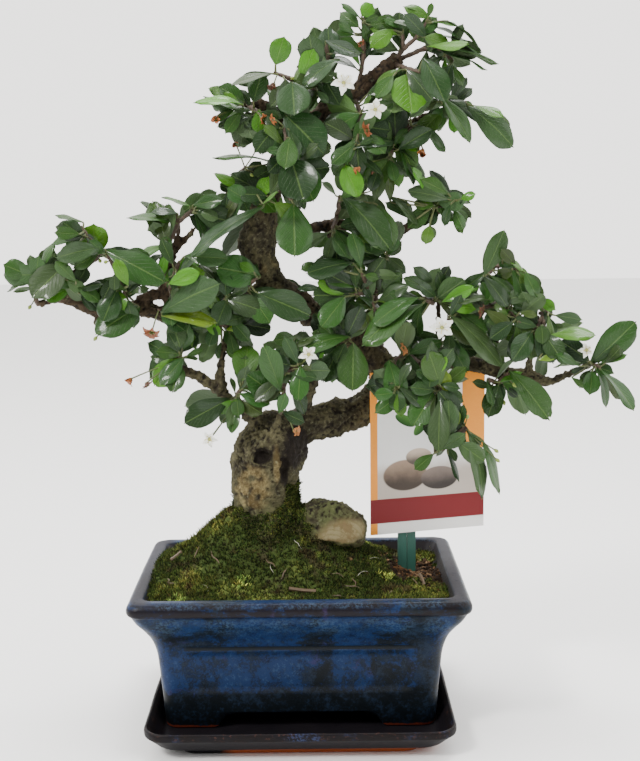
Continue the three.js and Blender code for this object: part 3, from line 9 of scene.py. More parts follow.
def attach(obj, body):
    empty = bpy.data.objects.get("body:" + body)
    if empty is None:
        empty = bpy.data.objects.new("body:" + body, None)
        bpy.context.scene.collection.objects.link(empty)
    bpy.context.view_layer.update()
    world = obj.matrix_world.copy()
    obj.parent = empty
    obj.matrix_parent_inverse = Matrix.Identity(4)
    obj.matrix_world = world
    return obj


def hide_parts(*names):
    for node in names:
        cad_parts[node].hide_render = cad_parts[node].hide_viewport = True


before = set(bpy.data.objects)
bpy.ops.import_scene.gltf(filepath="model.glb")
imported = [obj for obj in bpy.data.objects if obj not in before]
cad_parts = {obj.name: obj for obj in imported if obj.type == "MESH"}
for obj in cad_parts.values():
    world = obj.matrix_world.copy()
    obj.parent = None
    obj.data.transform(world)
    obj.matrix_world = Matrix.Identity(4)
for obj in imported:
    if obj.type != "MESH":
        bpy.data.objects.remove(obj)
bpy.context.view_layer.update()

MM = 0.001

# The camera stands where the photograph was taken from
EYE = Vector((12.87, -765.8, 324.7))
FOCAL_PX = 1238.5
FRAME_HEIGHT_PX = 761
SENSOR_HEIGHT = 24.0
PITCH_DOWN = 0.1479
YAW = 0.0013
ROLL = -0.0103


# Driving dimensions, shared with the part's own source
POT_HALF_X = 102
POT_HALF_Y = 72.5
POT_FOOT_Z = 5.8
FOOT_ARCH_TOP = 14.5
ARCH_HALF_X = 52
ARCH_HALF_Y = 26
PANEL_HALF_X = 66
PANEL_LOW = 30
PANEL_HIGH = 54
PANEL_DEPTH = 1.4
GROOVE_Z = 58.2
SAUCER_Y = -10
MOUND = {"x": -18, "y": 2, "rise": 45, "level": 84, "left": 60, "right": 62, "front": 42, "back": 46}
DIP = {"x": 72, "y": 30, "depth": 8, "wide": 16, "deep": 28}
CARD = {"x": 45.3, "y": 4, "turn": 0.28, "width": 78, "bottom": 109.4, "height": 105}

# Driving dimensions of the leaves
LEAF_THICK = 1.1
FINE_LEAF_THICK = 0.45
STEM_RADIUS = 1.25
BLADE_ARCH = 0.05
WIDEST = 0.6
BEHIND_SET = 2
JOINT_PART = 0.75
ROOT_SINK = 0.25
DEPTH_TRIES = [0, -5, 5, -10, 10, -15, 15, -20, 20]
FOUND = 0.35
NARROW = 8
BROAD = 9.5
SMALL_LEAF = 20

# Places on a blade that stand for the whole of it, as shares along and across
BLADE_MARKS = [(0.25, 0), (0.5, 0), (0.75, 0), (1, 0),
               (0.4, 0.8), (0.4, -0.8), (0.7, 0.9), (0.7, -0.9)]

# Leaves added between the ones that were read: reach round those, tries and counts
CELL = 2.6
FILL_REACH = 7.5
FILL_TRIES = 34000
FILL_COUNT = 460
FILL_BEHIND = 260


# Trunk and limbs, mostly as the part's source has them: x, z, depth and radius
BOLE = [
    [-18, 80, 2, 17], [-18, 92, 2, 24], [-18, 104, 2, 29], [-18, 118, 2, 26], [-20, 130, 2, 20.5],
    [-22, 141, 2, 20.5], [-22, 151, 1, 21.5], [-19, 162, 0, 23.5], [-16, 172, 1, 21.5],
    [-14, 180, 2, 18], [-12, 187, 3, 12], [-11, 191, 3, 6],
]
ROOT_LUMP = [
    [-8, 104, -2, 19], [5, 114, -4, 17], [18, 120, -6, 16.5], [28, 116, -7, 14.5],
    [37, 113.5, -6, 11.5], [42, 113, -6, 8],
]
LEADER = [
    [-12, 178, 3, 12], [5, 183, 8, 11.5], [20, 186, 14, 11], [35, 190, 22, 10.5],
    [45, 195, 29, 10], [54, 204, 33, 9.5], [55, 216, 34, 9], [47, 228, 31, 9], [36, 238, 27, 9],
    [22, 247, 22, 9], [5, 256, 15, 9], [-8, 264, 9, 9], [-16, 272, 5, 8.3], [-19, 281, 3, 8.6],
    [-23, 291, 1, 10.5], [-24, 301, 0, 11], [-21, 311, 0, 9.5], [-17, 322, -1, 8],
    [-12, 340, -2, 7.5], [-4, 355, -3, 7], [8, 368, -4, 6.5], [24, 377, -4, 6],
    [38, 387, -3, 5.5], [52, 398, -2, 5], [64, 406, 0, 4],
]
LIMBS = [
    [[-12, 268, 6, 6.5], [-32, 262, 3, 5.8], [-52, 256, 0, 5.2], [-72, 250, -3, 5],
        [-92, 256, -5, 4.6], [-106, 256, -7, 4.3], [-119, 254, -8, 4.4], [-128, 257, -9, 3.7],
        [-141, 263, -10, 3.2], [-149, 264, -11, 3], [-160, 260, -12, 2.2]],
    [[-139, 262, -10, 3], [-140, 275, -11, 3], [-131, 284, -12, 2.4], [-124, 287, -12, 1.8]],
    [[-140, 275, -11, 2.2], [-143, 284, -12, 1.9]],
    [[-120, 254, -8, 3], [-125, 246, -9, 2]],
    [[-74, 252, -3, 5], [-78, 265, -4, 5.4], [-80, 277, -5, 5.2], [-79, 290, -5, 4.2]],
    [[-79, 286, -5, 2.6], [-72, 303, -7, 1.6]],
    [[-77, 290, -5, 2.6], [-61, 307, -8, 1.4]],
    [[-101, 256, -6, 4], [-93, 265, -5, 4], [-83, 266, -4, 3.4], [-77, 262, -4, 3]],
    [[-24, 316, 0, 4], [-36, 320, -4, 2.6], [-43, 327, -6, 1.7]],
    [[-27, 320, -1, 2.2], [-29, 342, -4, 1.2]],
    [[-4, 355, -3, 5], [-1, 363, -4, 4.4], [-12, 376, -8, 3.8], [-25, 381, -11, 4.2]],
    [[24, 377, -4, 4.4], [40, 352, 12, 3], [58, 362, 14, 2.7], [70, 367, 12, 2.6],
        [82, 373, 9, 2.5], [91, 375, 7, 2.4]],
    [[-21, 302, 0, 6], [-8, 301, 6, 4.5], [10, 305, 10, 3.7], [24, 308, 12, 3.4],
        [38, 306, 13, 3.2], [50, 302, 13, 3], [62, 300, 12, 3.2], [70, 307, 10, 2.6],
        [82, 312, 8, 2.3], [90, 315, 6, 1.9]],
    [[22, 307, 12, 2.4], [20, 298, 11, 1.7]],
    [[34, 238, 27, 4.4], [42, 247, 16, 3.4], [47, 262, 8, 3.4], [54, 285, 4, 1.8]],
    [[2, 186, 6, 4.6], [6, 200, -4, 4], [10, 214, -7, 3.8], [21, 231, -4, 3.6],
        [33, 243, 6, 3]],
    [[-22, 180, -2, 6], [-31, 190, -8, 3.8], [-38, 195, -9, 3.3], [-48, 204, -10, 3.1],
        [-60, 213, -10, 3.1], [-70, 218, -10, 3.5], [-78, 220, -10, 2.4]],
    [[-47, 203, -10, 3.4], [-49, 217, -11, 2.6], [-46, 230, -10, 2.0], [-44, 243, -8, 1.6]],
    [[-16, 178, -13, 3], [-11, 191, -20, 1.8]],
    [[54, 216, 34, 6.5], [70, 226, 29, 4.8], [88, 222, 22, 4.4], [104, 221, 16, 4.4],
        [118, 218, 9, 5.2], [130, 214, 4, 4], [145, 214, 0, 3], [156, 207, -2, 3.4],
        [164, 211, -4, 2.6], [172, 214, -5, 2.6], [183, 219, -7, 2]],
    [[88, 222, 22, 2.8], [87, 240, 16, 2], [88, 262, 10, 1.4]],
    [[144, 214, 0, 2.6], [147, 235, -5, 1.8], [150, 251, -9, 1.3]],
    [[120, 220, 8, 3], [125, 240, 4, 2.2], [130, 260, 0, 1.8], [124, 273, -2, 1.5],
        [125, 284, -3, 1.2]],
    [[128, 214, 5, 2.4], [127, 203, 3, 1.8]],
    [[72, 226, 29, 2.8], [75, 224, 10, 2.2], [78, 211, -14, 1.8], [88, 199, -22, 2],
        [97, 188, -25, 1.5], [102, 181, -26, 1.3]],
    [[84, 203, -19, 1.5], [86, 182, -24, 1.3], [86, 163, -27, 1.8]],
]

# Leafy shoots as the part's source has them
SHOOTS = {
    "apex_sprig": {
        "tones": "bmmmmm",
        "stems": [[[38, 387, -3], [42, 405, -5], [42, 420, -7], [42, 430, -8]]],
        "leaves": [[41, 431, 47, 438, 9], [40, 430, 30, 439, 5], [43, 428, 51, 431, 4],
            [37, 421, 27, 427, 5], [37, 420, 26, 422, 5], [42, 410, 28, 418, 7]],
    },
    "crest_left": {
        "tones": "bgdggd",
        "stems": [[[22, 377, -4], [14, 388, -12], [8, 399, -16], [2, 402, -18]],
            [[14, 388, -12], [0, 394, -18], [-12, 399, -20]], [[16, 386, -11], [21, 400, -14],
            [20, 415, -16]]],
        "leaves": [[-11, 403, -6, 419, 13], [12, 401, 10, 419, 15], [19, 417, 37, 409, 9],
            [-13, 398, -38, 392, 9], [28, 406, 5, 394, 10], [19, 393, 27, 380, 12]],
        "behind": "apart",
    },
    "left_top": {
        "tones": "mbmb",
        "stems": [[[-25, 381, -11], [-31, 379, -17], [-34, 377, -22]], [[-27, 380, -13], [-22, 375, -22]]],
        "leaves": [[-30, 381, -45, 391, 12], [-31, 380, -59, 386, 8], [-32, 376, -42, 363, 8],
            [-21, 377, -22, 362, 9]],
        "behind": "joined",
    },
    "crest_front": {
        "tones": "gdmdd",
        "stems": [[[4, 364, -4], [2, 376, -18], [-2, 391, -26]], [[2, 373, -16], [-6, 366, -26],
            [-4, 350, -32]]],
        "leaves": [[-1, 393, 0, 373, 20], [-6, 374, 17, 352, 24], [-3, 360, -6, 341, 13],
            [-2, 347, 5, 322, 24], [-12, 366, -24, 352, 12]],
    },
    "crest_right": {
        "tones": "bmmmmm",
        "stems": [[[36, 385, -3], [40, 374, -18], [38, 358, -24], [30, 345, -26]]],
        "leaves": [[30, 343, 38, 325, 14], [40, 374, 22, 364, 12], [42, 368, 60, 380, 11],
            [37, 356, 22, 344, 10], [41, 362, 55, 350, 12], [44, 385, 62, 392, 10]],
        "behind": "apart",
    },
    "apex_right": {
        "tones": "bmdmll",
        "stems": [[[60, 404, -1], [66, 412, -5], [65, 422, -7]], [[66, 410, -4], [74, 418, -8],
            [80, 428, -10]]],
        "leaves": [[60, 423, 47, 414, 11], [65, 422, 48, 413, 6], [80, 418, 67, 432, 10],
            [66, 423, 55, 430, 5], [81, 430, 67, 436, 4], [81, 430, 83, 438, 4]],
    },
    "apex_tip": {
        "tones": "mbmmm",
        "stems": [[[63, 405, 0], [81, 413, -4], [90, 411, -8], [96, 404, -10]]],
        "leaves": [[82, 420, 113, 413, 5], [81, 413, 105, 413, 8], [90, 412, 123, 403, 5],
            [90, 409, 117, 401, 5], [95, 402, 103, 390, 5]],
        "behind": "joined",
    },
    "apex_drop": {
        "tones": "dbm",
        "stems": [[[60, 403, -1], [68, 400, -16], [76, 398, -22]]],
        "leaves": [[78, 406, 91, 383, 16], [68, 397, 71, 374, 22], [60, 396, 50, 384, 9]],
        "behind": "joined",
    },
    "right_top": {
        "tones": "mgb",
        "stems": [[[90, 375, 7], [98, 379, -2], [104, 380, -8]], [[94, 377, 2], [88, 384, -10]]],
        "leaves": [[88, 384, 108, 359, 13], [104, 378, 134, 356, 15], [108, 378, 126, 370, 6]],
        "behind": "joined",
    },
    "right_top_low": {
        "tones": "mmbmmm",
        "stems": [[[58, 362, 14], [62, 361, -2], [72, 366, -8]], [[61, 361, 2], [58, 347, -8]]],
        "leaves": [[74, 367, 93, 353, 6], [59, 366, 62, 374, 6], [62, 359, 76, 352, 7],
            [62, 357, 73, 331, 10], [58, 346, 61, 334, 7], [70, 371, 82, 388, 10]],
        "behind": "joined",
    },
    "upper_left": {
        "tones": "mmbdmbl",
        "stems": [[[-42, 326, -6], [-38, 334, -12], [-30, 343, -14]], [[-38, 334, -12], [-24, 330, -18]]],
        "leaves": [[-12, 345, -48, 352, 6], [-24, 339, -13, 335, 5], [-29, 327, -49, 339, 8],
            [-40, 328, -46, 333, 6], [-29, 322, -41, 330, 11], [-22, 324, -17, 336, 9],
            [-20, 320, -10, 327, 4]],
        "behind": "joined",
    },
    "stub_top": {
        "tones": "mgmdlm",
        "stems": [[[-72, 302, -7], [-73, 315, -12]], [[-73, 304, -8], [-62, 318, -14]], [[-73, 305, -8],
            [-80, 292, -14]]],
        "leaves": [[-63, 320, -45, 323, 9], [-60, 317, -48, 312, 7], [-73, 309, -102, 316, 8],
            [-72, 315, -88, 317, 6], [-64, 319, -82, 324, 5], [-80, 292, -80, 301, 8]],
        "behind": "joined",
    },
    "upper_centre": {
        "tones": "dmm",
        "stems": [[[-14, 335, -2], [-8, 330, -18], [-2, 322, -24]], [[-8, 330, -18], [0, 344, -26]],
            [[-8, 331, -17], [-20, 320, -24]]],
        "leaves": [[-20, 318, -66, 291, 14], [-1, 320, -1, 288, 22], [0, 345, 11, 322, 20]],
        "behind": "apart",
    },
    "branch_mid": {
        "tones": "dmm",
        "stems": [[[24, 308, 12], [26, 316, -6], [27, 325, -14]], [[25, 311, 4], [23, 304, -10]]],
        "leaves": [[28, 325, 58, 296, 18], [23, 305, 35, 287, 9], [22, 300, 31, 288, 8]],
        "behind": "joined",
    },
    "branch_tip": {
        "tones": "gmgbmml",
        "stems": [[[89, 315, 6], [94, 318, -2], [98, 322, -6]], [[90, 315, 4], [84, 318, -6]]],
        "leaves": [[58, 324, 76, 309, 8], [83, 318, 69, 305, 11], [87, 320, 104, 321, 12],
            [101, 322, 110, 325, 6], [94, 325, 77, 334, 10], [97, 316, 103, 303, 8],
            [82, 306, 80, 295, 8]],
        "behind": "joined",
    },
    "left_end": {
        "tones": "gglm",
        "stems": [[[-160, 260, -12], [-163, 268, -18], [-160, 277, -22]], [[-150, 264, -11],
            [-146, 274, -20], [-143, 283, -23]]],
        "leaves": [[-158, 278, -181, 279, 14], [-143, 284, -164, 265, 20], [-162, 270, -175, 269, 4],
            [-158, 281, -150, 299, 7]],
    },
    "left_up": {
        "tones": "mgbdmm",
        "stems": [[[-124, 287, -12], [-120, 293, -18], [-128, 301, -22], [-132, 308, -22]]],
        "leaves": [[-131, 301, -150, 300, 6], [-119, 295, -147, 290, 12], [-124, 291, -124, 309, 17],
            [-131, 302, -142, 310, 10], [-130, 310, -147, 315, 4], [-133, 303, -148, 304, 8]],
    },
    "left_mid": {
        "tones": "mbmbm",
        "stems": [[[-106, 256, -7], [-106, 268, -18], [-112, 282, -22], [-117, 292, -24]]],
        "leaves": [[-117, 293, -84, 275, 18], [-104, 271, -111, 286, 8], [-105, 268, -114, 272, 4],
            [-112, 268, -107, 256, 9], [-97, 258, -124, 243, 20]],
        "behind": "joined",
    },
    "left_elbow": {
        "tones": "mmm",
        "stems": [[[-138, 262, -10], [-137, 272, -18]]],
        "leaves": [[-137, 273, -122, 262, 8], [-136, 274, -148, 286, 8], [-140, 270, -152, 276, 7]],
    },
    "left_inner": {
        "tones": "ggybd",
        "stems": [[[-73, 251, -3], [-80, 255, -16], [-86, 256, -22]], [[-76, 253, -10], [-78, 271, -22],
            [-72, 286, -24]]],
        "leaves": [[-69, 289, -42, 287, 12], [-84, 254, -48, 272, 18], [-84, 252, -52, 253, 9],
            [-79, 272, -61, 279, 10], [-82, 252, -70, 243, 10]],
        "behind": "apart",
    },
    "limb_left": {
        "tones": "mddm",
        "stems": [[[-40, 259, 2], [-34, 268, -16], [-24, 275, -22]], [[-37, 263, -8], [-45, 262, -18]]],
        "leaves": [[-22, 276, -48, 282, 20], [-43, 262, -50, 246, 13], [-25, 266, 8, 252, 18],
            [-27, 263, -17, 247, 14]],
        "behind": "apart",
    },
    "hang_left": {
        "tones": "mdybm",
        "stems": [[[-44, 243, -8], [-41, 248, -14]], [[-44, 244, -9], [-51, 246, -16]]],
        "leaves": [[-42, 241, -39, 227, 7], [-51, 245, -55, 233, 8], [-44, 243, -34, 245, 5],
            [-58, 250, -48, 240, 7], [-41, 249, -30, 236, 9]],
        "behind": "joined",
    },
    "low_left_tip": {
        "tones": "mmm",
        "stems": [[[-77, 220, -10], [-73, 227, -16]]],
        "leaves": [[-71, 226, -86, 209, 12], [-72, 228, -88, 230, 8], [-69, 227, -59, 231, 5]],
        "behind": "joined",
    },
    "low_left": {
        "tones": "dmmmg",
        "stems": [[[-37, 195, -9], [-38, 203, -20], [-34, 207, -24]]],
        "leaves": [[-42, 200, -72, 184, 16], [-39, 199, -42, 178, 9], [-37, 203, -18, 196, 9],
            [-35, 206, -12, 203, 8], [-36, 205, -32, 219, 8]],
        "behind": "joined",
    },
    "bole_front": {
        "tones": "mgmmmd",
        "stems": [[[-11, 190, -20], [-9, 203, -30], [-9, 220, -32], [-4, 236, -30]], [[-9, 215, -32],
            [2, 221, -34]]],
        "leaves": [[-11, 204, -21, 233, 14], [-6, 236, -6, 219, 16], [2, 221, 0, 198, 12],
            [-1, 238, -15, 236, 9], [-12, 190, -8, 202, 7], [-10, 191, 4, 184, 8]],
    },
    "red_branch": {
        "tones": "mdm",
        "stems": [[[20, 229, -4], [26, 233, -16], [33, 237, -20]]],
        "leaves": [[33, 238, 2, 233, 11], [26, 232, 16, 210, 16], [35, 234, 34, 204, 19]],
    },
    "centre": {
        "tones": "mdgmmlomm",
        "stems": [[[47, 262, 8], [44, 268, -10], [40, 278, -18]], [[45, 265, 0], [36, 264, -16]],
            [[46, 262, 2], [48, 254, -14]]],
        "leaves": [[40, 280, 36, 301, 9], [35, 284, 7, 279, 12], [44, 263, 31, 282, 10],
            [39, 268, 17, 275, 8], [50, 264, 65, 277, 10], [50, 260, 65, 257, 4],
            [45, 259, 33, 241, 13], [30, 263, 15, 244, 15], [12, 284, 3, 280, 6]],
        "behind": "apart",
    },
    "centre_top": {
        "tones": "mgm",
        "stems": [[[54, 284, 4], [56, 288, -2]]],
        "leaves": [[55, 287, 46, 294, 6], [57, 287, 66, 280, 7], [56, 288, 62, 300, 8]],
        "behind": "joined",
    },
    "right_rise": {
        "tones": "bbdgdbmm",
        "stems": [[[88, 260, 10], [86, 267, 0], [89, 273, -4]], [[87, 250, 12], [84, 258, -8],
            [78, 262, -12]],
            [[87, 262, 6], [92, 258, -6]]],
        "leaves": [[88, 265, 113, 268, 8], [90, 259, 109, 268, 9], [86, 271, 97, 273, 6],
            [86, 270, 73, 281, 7], [86, 262, 76, 270, 8], [92, 257, 111, 254, 8],
            [78, 258, 40, 240, 12], [76, 262, 47, 250, 10]],
        "behind": "joined",
    },
    "right_fall": {
        "tones": "mgdm",
        "stems": [[[92, 222, 21], [93, 236, 0], [94, 250, -12]]],
        "leaves": [[92, 238, 106, 215, 12], [95, 251, 129, 220, 16], [65, 236, 80, 232, 8],
            [100, 253, 118, 240, 10]],
        "behind": "apart",
    },
    "right_up": {
        "tones": "mlmmd",
        "stems": [[[125, 284, -3], [121, 279, -8], [117, 275, -12]], [[125, 283, -3], [131, 281, -10],
            [139, 278, -14]]],
        "leaves": [[116, 275, 128, 302, 13], [127, 286, 141, 279, 4], [133, 279, 142, 261, 8],
            [141, 277, 149, 261, 9], [115, 275, 131, 257, 10]],
        "behind": "joined",
    },
    "right_mid": {
        "tones": "godmo",
        "stems": [[[130, 260, 0], [122, 257, -10], [115, 255, -16]], [[128, 258, -3], [134, 250, -16],
            [140, 244, -20]]],
        "leaves": [[127, 260, 100, 261, 7], [116, 254, 133, 244, 8], [134, 246, 120, 236, 10],
            [133, 260, 142, 254, 7], [138, 252, 149, 250, 5]],
        "behind": "joined",
    },
    "right_out": {
        "tones": "bgbdmmy",
        "stems": [[[150, 251, -9], [156, 252, -14]], [[149, 249, -9], [153, 240, -18], [160, 236, -20]],
            [[149, 249, -9], [147, 238, -20]]],
        "leaves": [[150, 260, 160, 254, 7], [160, 250, 177, 247, 8], [157, 238, 185, 238, 9],
            [146, 240, 135, 223, 14], [152, 244, 153, 232, 10], [159, 234, 168, 219, 8],
            [150, 222, 162, 225, 5]],
        "behind": "joined",
    },
    "right_tip": {
        "tones": "mmmmmm",
        "stems": [[[181, 218, -6], [184, 219, -13], [189, 217, -20]]],
        "leaves": [[182, 219, 210, 244, 18], [186, 217, 197, 193, 8], [189, 216, 211, 190, 7],
            [184, 215, 183, 200, 11], [176, 218, 162, 226, 6], [171, 211, 179, 205, 4]],
    },
    "right_low": {
        "tones": "mdm",
        "stems": [[[127, 203, 3], [126, 209, -8], [133, 215, -14]], [[126, 207, -3], [119, 210, -12]]],
        "leaves": [[132, 216, 157, 184, 15], [127, 208, 125, 195, 8], [118, 210, 122, 193, 5]],
        "behind": "joined",
    },
    "card_left": {
        "tones": "mmmm",
        "stems": [[[76, 221, 5], [70, 226, -8], [61, 224, -16], [58, 214, -20]], [[58, 218, -18],
            [62, 204, -26]]],
        "leaves": [[57, 223, 64, 196, 15], [60, 202, 48, 201, 8], [63, 200, 49, 190, 10],
            [68, 228, 75, 205, 11]],
    },
    "card_top": {
        "tones": "mgdyb",
        "stems": [[[87, 199, -22], [90, 206, -28]], [[86, 200, -21], [84, 210, -26]]],
        "leaves": [[85, 203, 72, 181, 17], [89, 198, 88, 165, 13], [84, 218, 82, 205, 10],
            [92, 201, 93, 215, 7], [84, 212, 92, 226, 8]],
    },
    "card_low": {
        "tones": "mymdg",
        "stems": [[[102, 181, -26], [106, 179, -30]], [[87, 164, -27], [90, 165, -32]], [[90, 166, -32],
            [97, 172, -32], [106, 179, -30]]],
        "leaves": [[90, 166, 104, 175, 9], [102, 182, 94, 191, 9], [85, 163, 73, 153, 8],
            [94, 163, 102, 146, 5], [106, 178, 121, 137, 12]],
    },
}


def add_object(name, data):
    """A new object in the scene, at the origin"""
    made = bpy.data.objects.new(name, data)
    bpy.context.scene.collection.objects.link(made)
    return made


def seen(x, z, y):
    """A reading on the middle plane, carried along the line of sight to depth y"""
    reach = (y - EYE.y) / -EYE.y
    return Vector((EYE.x + (x - EYE.x) * reach, y, EYE.z + (z - EYE.z) * reach))


def smooth(low, high, value):
    part = min(1, max(0, (value - low) / (high - low)))
    return part * part * (3 - 2 * part)


def seeded_draw(seed):
    """The same seeded draw as the part's own source, one number from 0 to 1 at a time"""
    whole = 0xFFFFFFFF
    state = seed
    while True:
        state = (state + 0x6D2B79F5) & whole
        mixed = ((state ^ (state >> 15)) * (1 | state)) & whole
        mixed = ((mixed + (mixed ^ (mixed >> 7)) * (61 | mixed)) ^ mixed) & whole
        yield (mixed ^ (mixed >> 14)) / 4294967296


# Shader maths as expressions
class Wire:
    """A socket whose operators add Math nodes"""

    def __init__(self, finish, socket):
        self.finish = finish
        self.socket = socket

    def maths(self, operation, first, second):
        return self.finish.node("ShaderNodeMath", {"operation": operation}, {0: first, 1: second})

    def __abs__(self):
        return self.maths("ABSOLUTE", self, 0)


def operator_for(operation, swapped):
    if swapped:
        return lambda wire, other: wire.maths(operation, other, wire)
    return lambda wire, other: wire.maths(operation, wire, other)


for sign, operation in (("add", "ADD"), ("sub", "SUBTRACT"), ("mul", "MULTIPLY"),
                        ("truediv", "DIVIDE"), ("pow", "POWER")):
    setattr(Wire, f"__{sign}__", operator_for(operation, False))
    setattr(Wire, f"__r{sign}__", operator_for(operation, True))


class Finish:
    """A material on the principled shader"""

    def __init__(self, name):
        self.material = bpy.data.materials.new(name)
        self.material.use_nodes = True
        self.tree = self.material.node_tree
        self.surface = self.tree.nodes["Principled BSDF"]
        self.place = self.node("ShaderNodeTexCoord", output="Object")

    def node(self, kind, settings=None, inputs=None, output=0):
        made = self.tree.nodes.new(kind)
        for key, value in (settings or {}).items():
            setattr(made, key, value)
        self.fill(made, inputs or {})
        return Wire(self, made.outputs[output])

    def fill(self, made, inputs):
        for key, value in inputs.items():
            if isinstance(value, Wire):
                self.tree.links.new(value.socket, made.inputs[key])
            elif isinstance(value, tuple) and len(made.inputs[key].default_value) == 4:
                made.inputs[key].default_value = (*value, 1)
            else:
                made.inputs[key].default_value = value

    def noise(self, scale, detail=4, roughness=0.55, place=None, distortion=0):
        return self.node("ShaderNodeTexNoise", None, {
            "Vector": place or self.place, "Scale": scale, "Detail": detail,
            "Roughness": roughness, "Distortion": distortion})

    def cells(self, scale):
        return self.node("ShaderNodeTexVoronoi", None, {"Vector": self.place, "Scale": scale}, "Distance")

    def stretched(self, scale):
        return self.node("ShaderNodeMapping", None, {"Vector": self.place, "Scale": scale})

    def step(self, value, low, high):
        """0 below low, 1 above high, smooth between"""
        return self.node("ShaderNodeMapRange", {"interpolation_type": "SMOOTHSTEP"},
                         {"Value": value, "From Min": low, "From Max": high})

    def band(self, value, low, high, soft):
        below_high = 1 - self.step(value, high - soft, high + soft)
        return self.step(value, low - soft, low + soft) * below_high

    def mix(self, factor, first, second):
        return self.node("ShaderNodeMix", {"data_type": "RGBA", "clamp_factor": True},
                         {0: factor, 6: first, 7: second}, 2)

    def times(self, colour, tint):
        """A colour multiplied by a tint"""
        return self.node("ShaderNodeMix", {"data_type": "RGBA", "blend_type": "MULTIPLY"},
                         {0: 1.0, 6: colour, 7: tint}, 2)

    def zigzag(self, value):
        """Up and down between 0 and 0.5"""
        return self.node("ShaderNodeMath", {"operation": "PINGPONG"}, {0: value, 1: 0.5})

    def tint(self, name="tint"):
        return self.node("ShaderNodeAttribute", {"attribute_name": name}, None, "Color")

    def axes(self, place=None):
        source = {"Vector": place or self.place}
        return [self.node("ShaderNodeSeparateXYZ", None, source, axis) for axis in "XYZ"]

    def bump(self, height, strength, distance):
        return self.node("ShaderNodeBump", None, {
            "Height": height, "Strength": strength, "Distance": distance})

    def finish(self, **sockets):
        names = {key.replace("_", " "): value for key, value in sockets.items()}
        self.fill(self.surface, names)
        return self.material


def shaded(colour, share):
    return tuple(part * share for part in colour)


# Finishes
COBALT = (0.0068, 0.020, 0.066)
DEEP_BLUE = (0.003, 0.006, 0.020)
BLACK_GREEN = (0.0045, 0.0065, 0.0085)
IRON_BROWN = (0.006, 0.004, 0.0045)
RED_CLAY = (0.16, 0.03, 0.014)


def pot_glaze():
    """Cobalt that broke into black where it ran: low down, at the right end and in smears"""
    finish = Finish("mottled_blue_glaze")
    x, y, z = finish.axes()
    patches = finish.noise(26, 7, 0.68, distortion=0.6)
    smears = finish.noise(48, 6, 0.7, finish.stretched((1, 1, 0.45)))
    clouds = finish.noise(95, 7, 0.75)
    grain = finish.noise(520, 4, 0.8)
    low = 1 - finish.step(z + (patches - 0.5) * 0.03, 0.020, 0.034)
    right = finish.step(x, 0.02, 0.095)
    shade = patches * 0.55 + smears * 0.4 + clouds * 0.25 + low * 0.24 + right * 0.09
    dark = finish.step(shade + (grain - 0.5) * 0.3, 0.60, 0.68)
    blue = finish.mix(finish.step(clouds + (grain - 0.5) * 0.8, 0.44, 0.62), COBALT, DEEP_BLUE)
    pale = finish.step(finish.noise(260, 4, 0.8) + (grain - 0.5) * 1.2, 0.56, 0.74)
    blue = finish.mix(pale * 0.55, blue, (0.024, 0.056, 0.125))
    black = finish.mix(finish.step(clouds + (grain - 0.5) * 0.7, 0.47, 0.66),
                       BLACK_GREEN, (0.010, 0.018, 0.034))
    body = finish.mix(dark, blue, black)
    lip = finish.band(z, 0.0815, 0.0895, 0.001)
    runs = finish.noise(45, 6, 0.7, finish.stretched((1, 1, 3)))
    lip_break = finish.step(runs + (grain - 0.5) * 0.3, 0.36, 0.52)
    body = finish.mix(lip * lip_break * 0.95, body, IRON_BROWN)
    speckle = finish.step(finish.noise(700, 3, 0.8), 0.46, 0.58)
    speckle = speckle * finish.step(finish.noise(60, 5, 0.6), 0.3, 0.6)
    under_lip = finish.band(z, 0.069, 0.0805, 0.003) + finish.band(z, 0.0870, 0.0905, 0.001) * 0.8
    body = finish.mix(under_lip * speckle * 0.6, body, (0.040, 0.074, 0.125))
    purple = finish.step(finish.noise(55, 5, 0.6), 0.58, 0.7) * (1 - dark)
    body = finish.mix(purple * 0.5, body, (0.035, 0.022, 0.07))
    long_face = finish.step(abs(y), 0.05, 0.053) * (1 - finish.step(abs(x), 0.066, 0.070))
    # painted shade: the groove above the panel on the long faces is painted near black
    groove = finish.band(z, (GROOVE_Z - 1.6) * MM, (GROOVE_Z + 0.9) * MM, 0.0004) * long_face
    body = finish.mix(groove * 0.95, body, BLACK_GREEN)
    ends = finish.step(abs(x), 0.084, 0.092)
    ashen = finish.mix(finish.noise(190, 5, 0.6), (0.022, 0.021, 0.025), (0.050, 0.049, 0.055))
    ashen = finish.mix(finish.step(finish.noise(330, 4, 0.7), 0.6, 0.66), ashen, (0.015, 0.014, 0.018))
    top = finish.step(z, 0.0888, 0.0897)
    body = finish.mix(top * (ends * 0.85 + 0.06), body, ashen)
    # painted shade: the inner wall above the moss, under the rim, is painted near black
    inside = finish.step(0.0895 - z, 0.0, 0.002) * finish.step(
        finish.node("ShaderNodeMath", {"operation": "MAXIMUM"},
                    {0: abs(x) - z * 0.464 - 0.0573, 1: abs(y) - z * 0.464 - 0.0278}), 0.0, -0.0012)
    body = finish.mix(inside * finish.step(z, 0.062, 0.066), body, (0.02, 0.018, 0.02))
    foot = 1 - finish.step(z + (clouds - 0.5) * 0.004, 0.0072, 0.0080)
    body = finish.mix(foot, body, RED_CLAY)
    rough = 0.2 + clouds * 0.3 + top * ends * 0.3 + foot * 0.5
    relief = clouds * 0.6 + grain * 0.4
    return finish.finish(Base_Color=body, Roughness=rough, Specular_IOR_Level=0.13,
                         Normal=finish.bump(relief, 0.6, 0.0005))


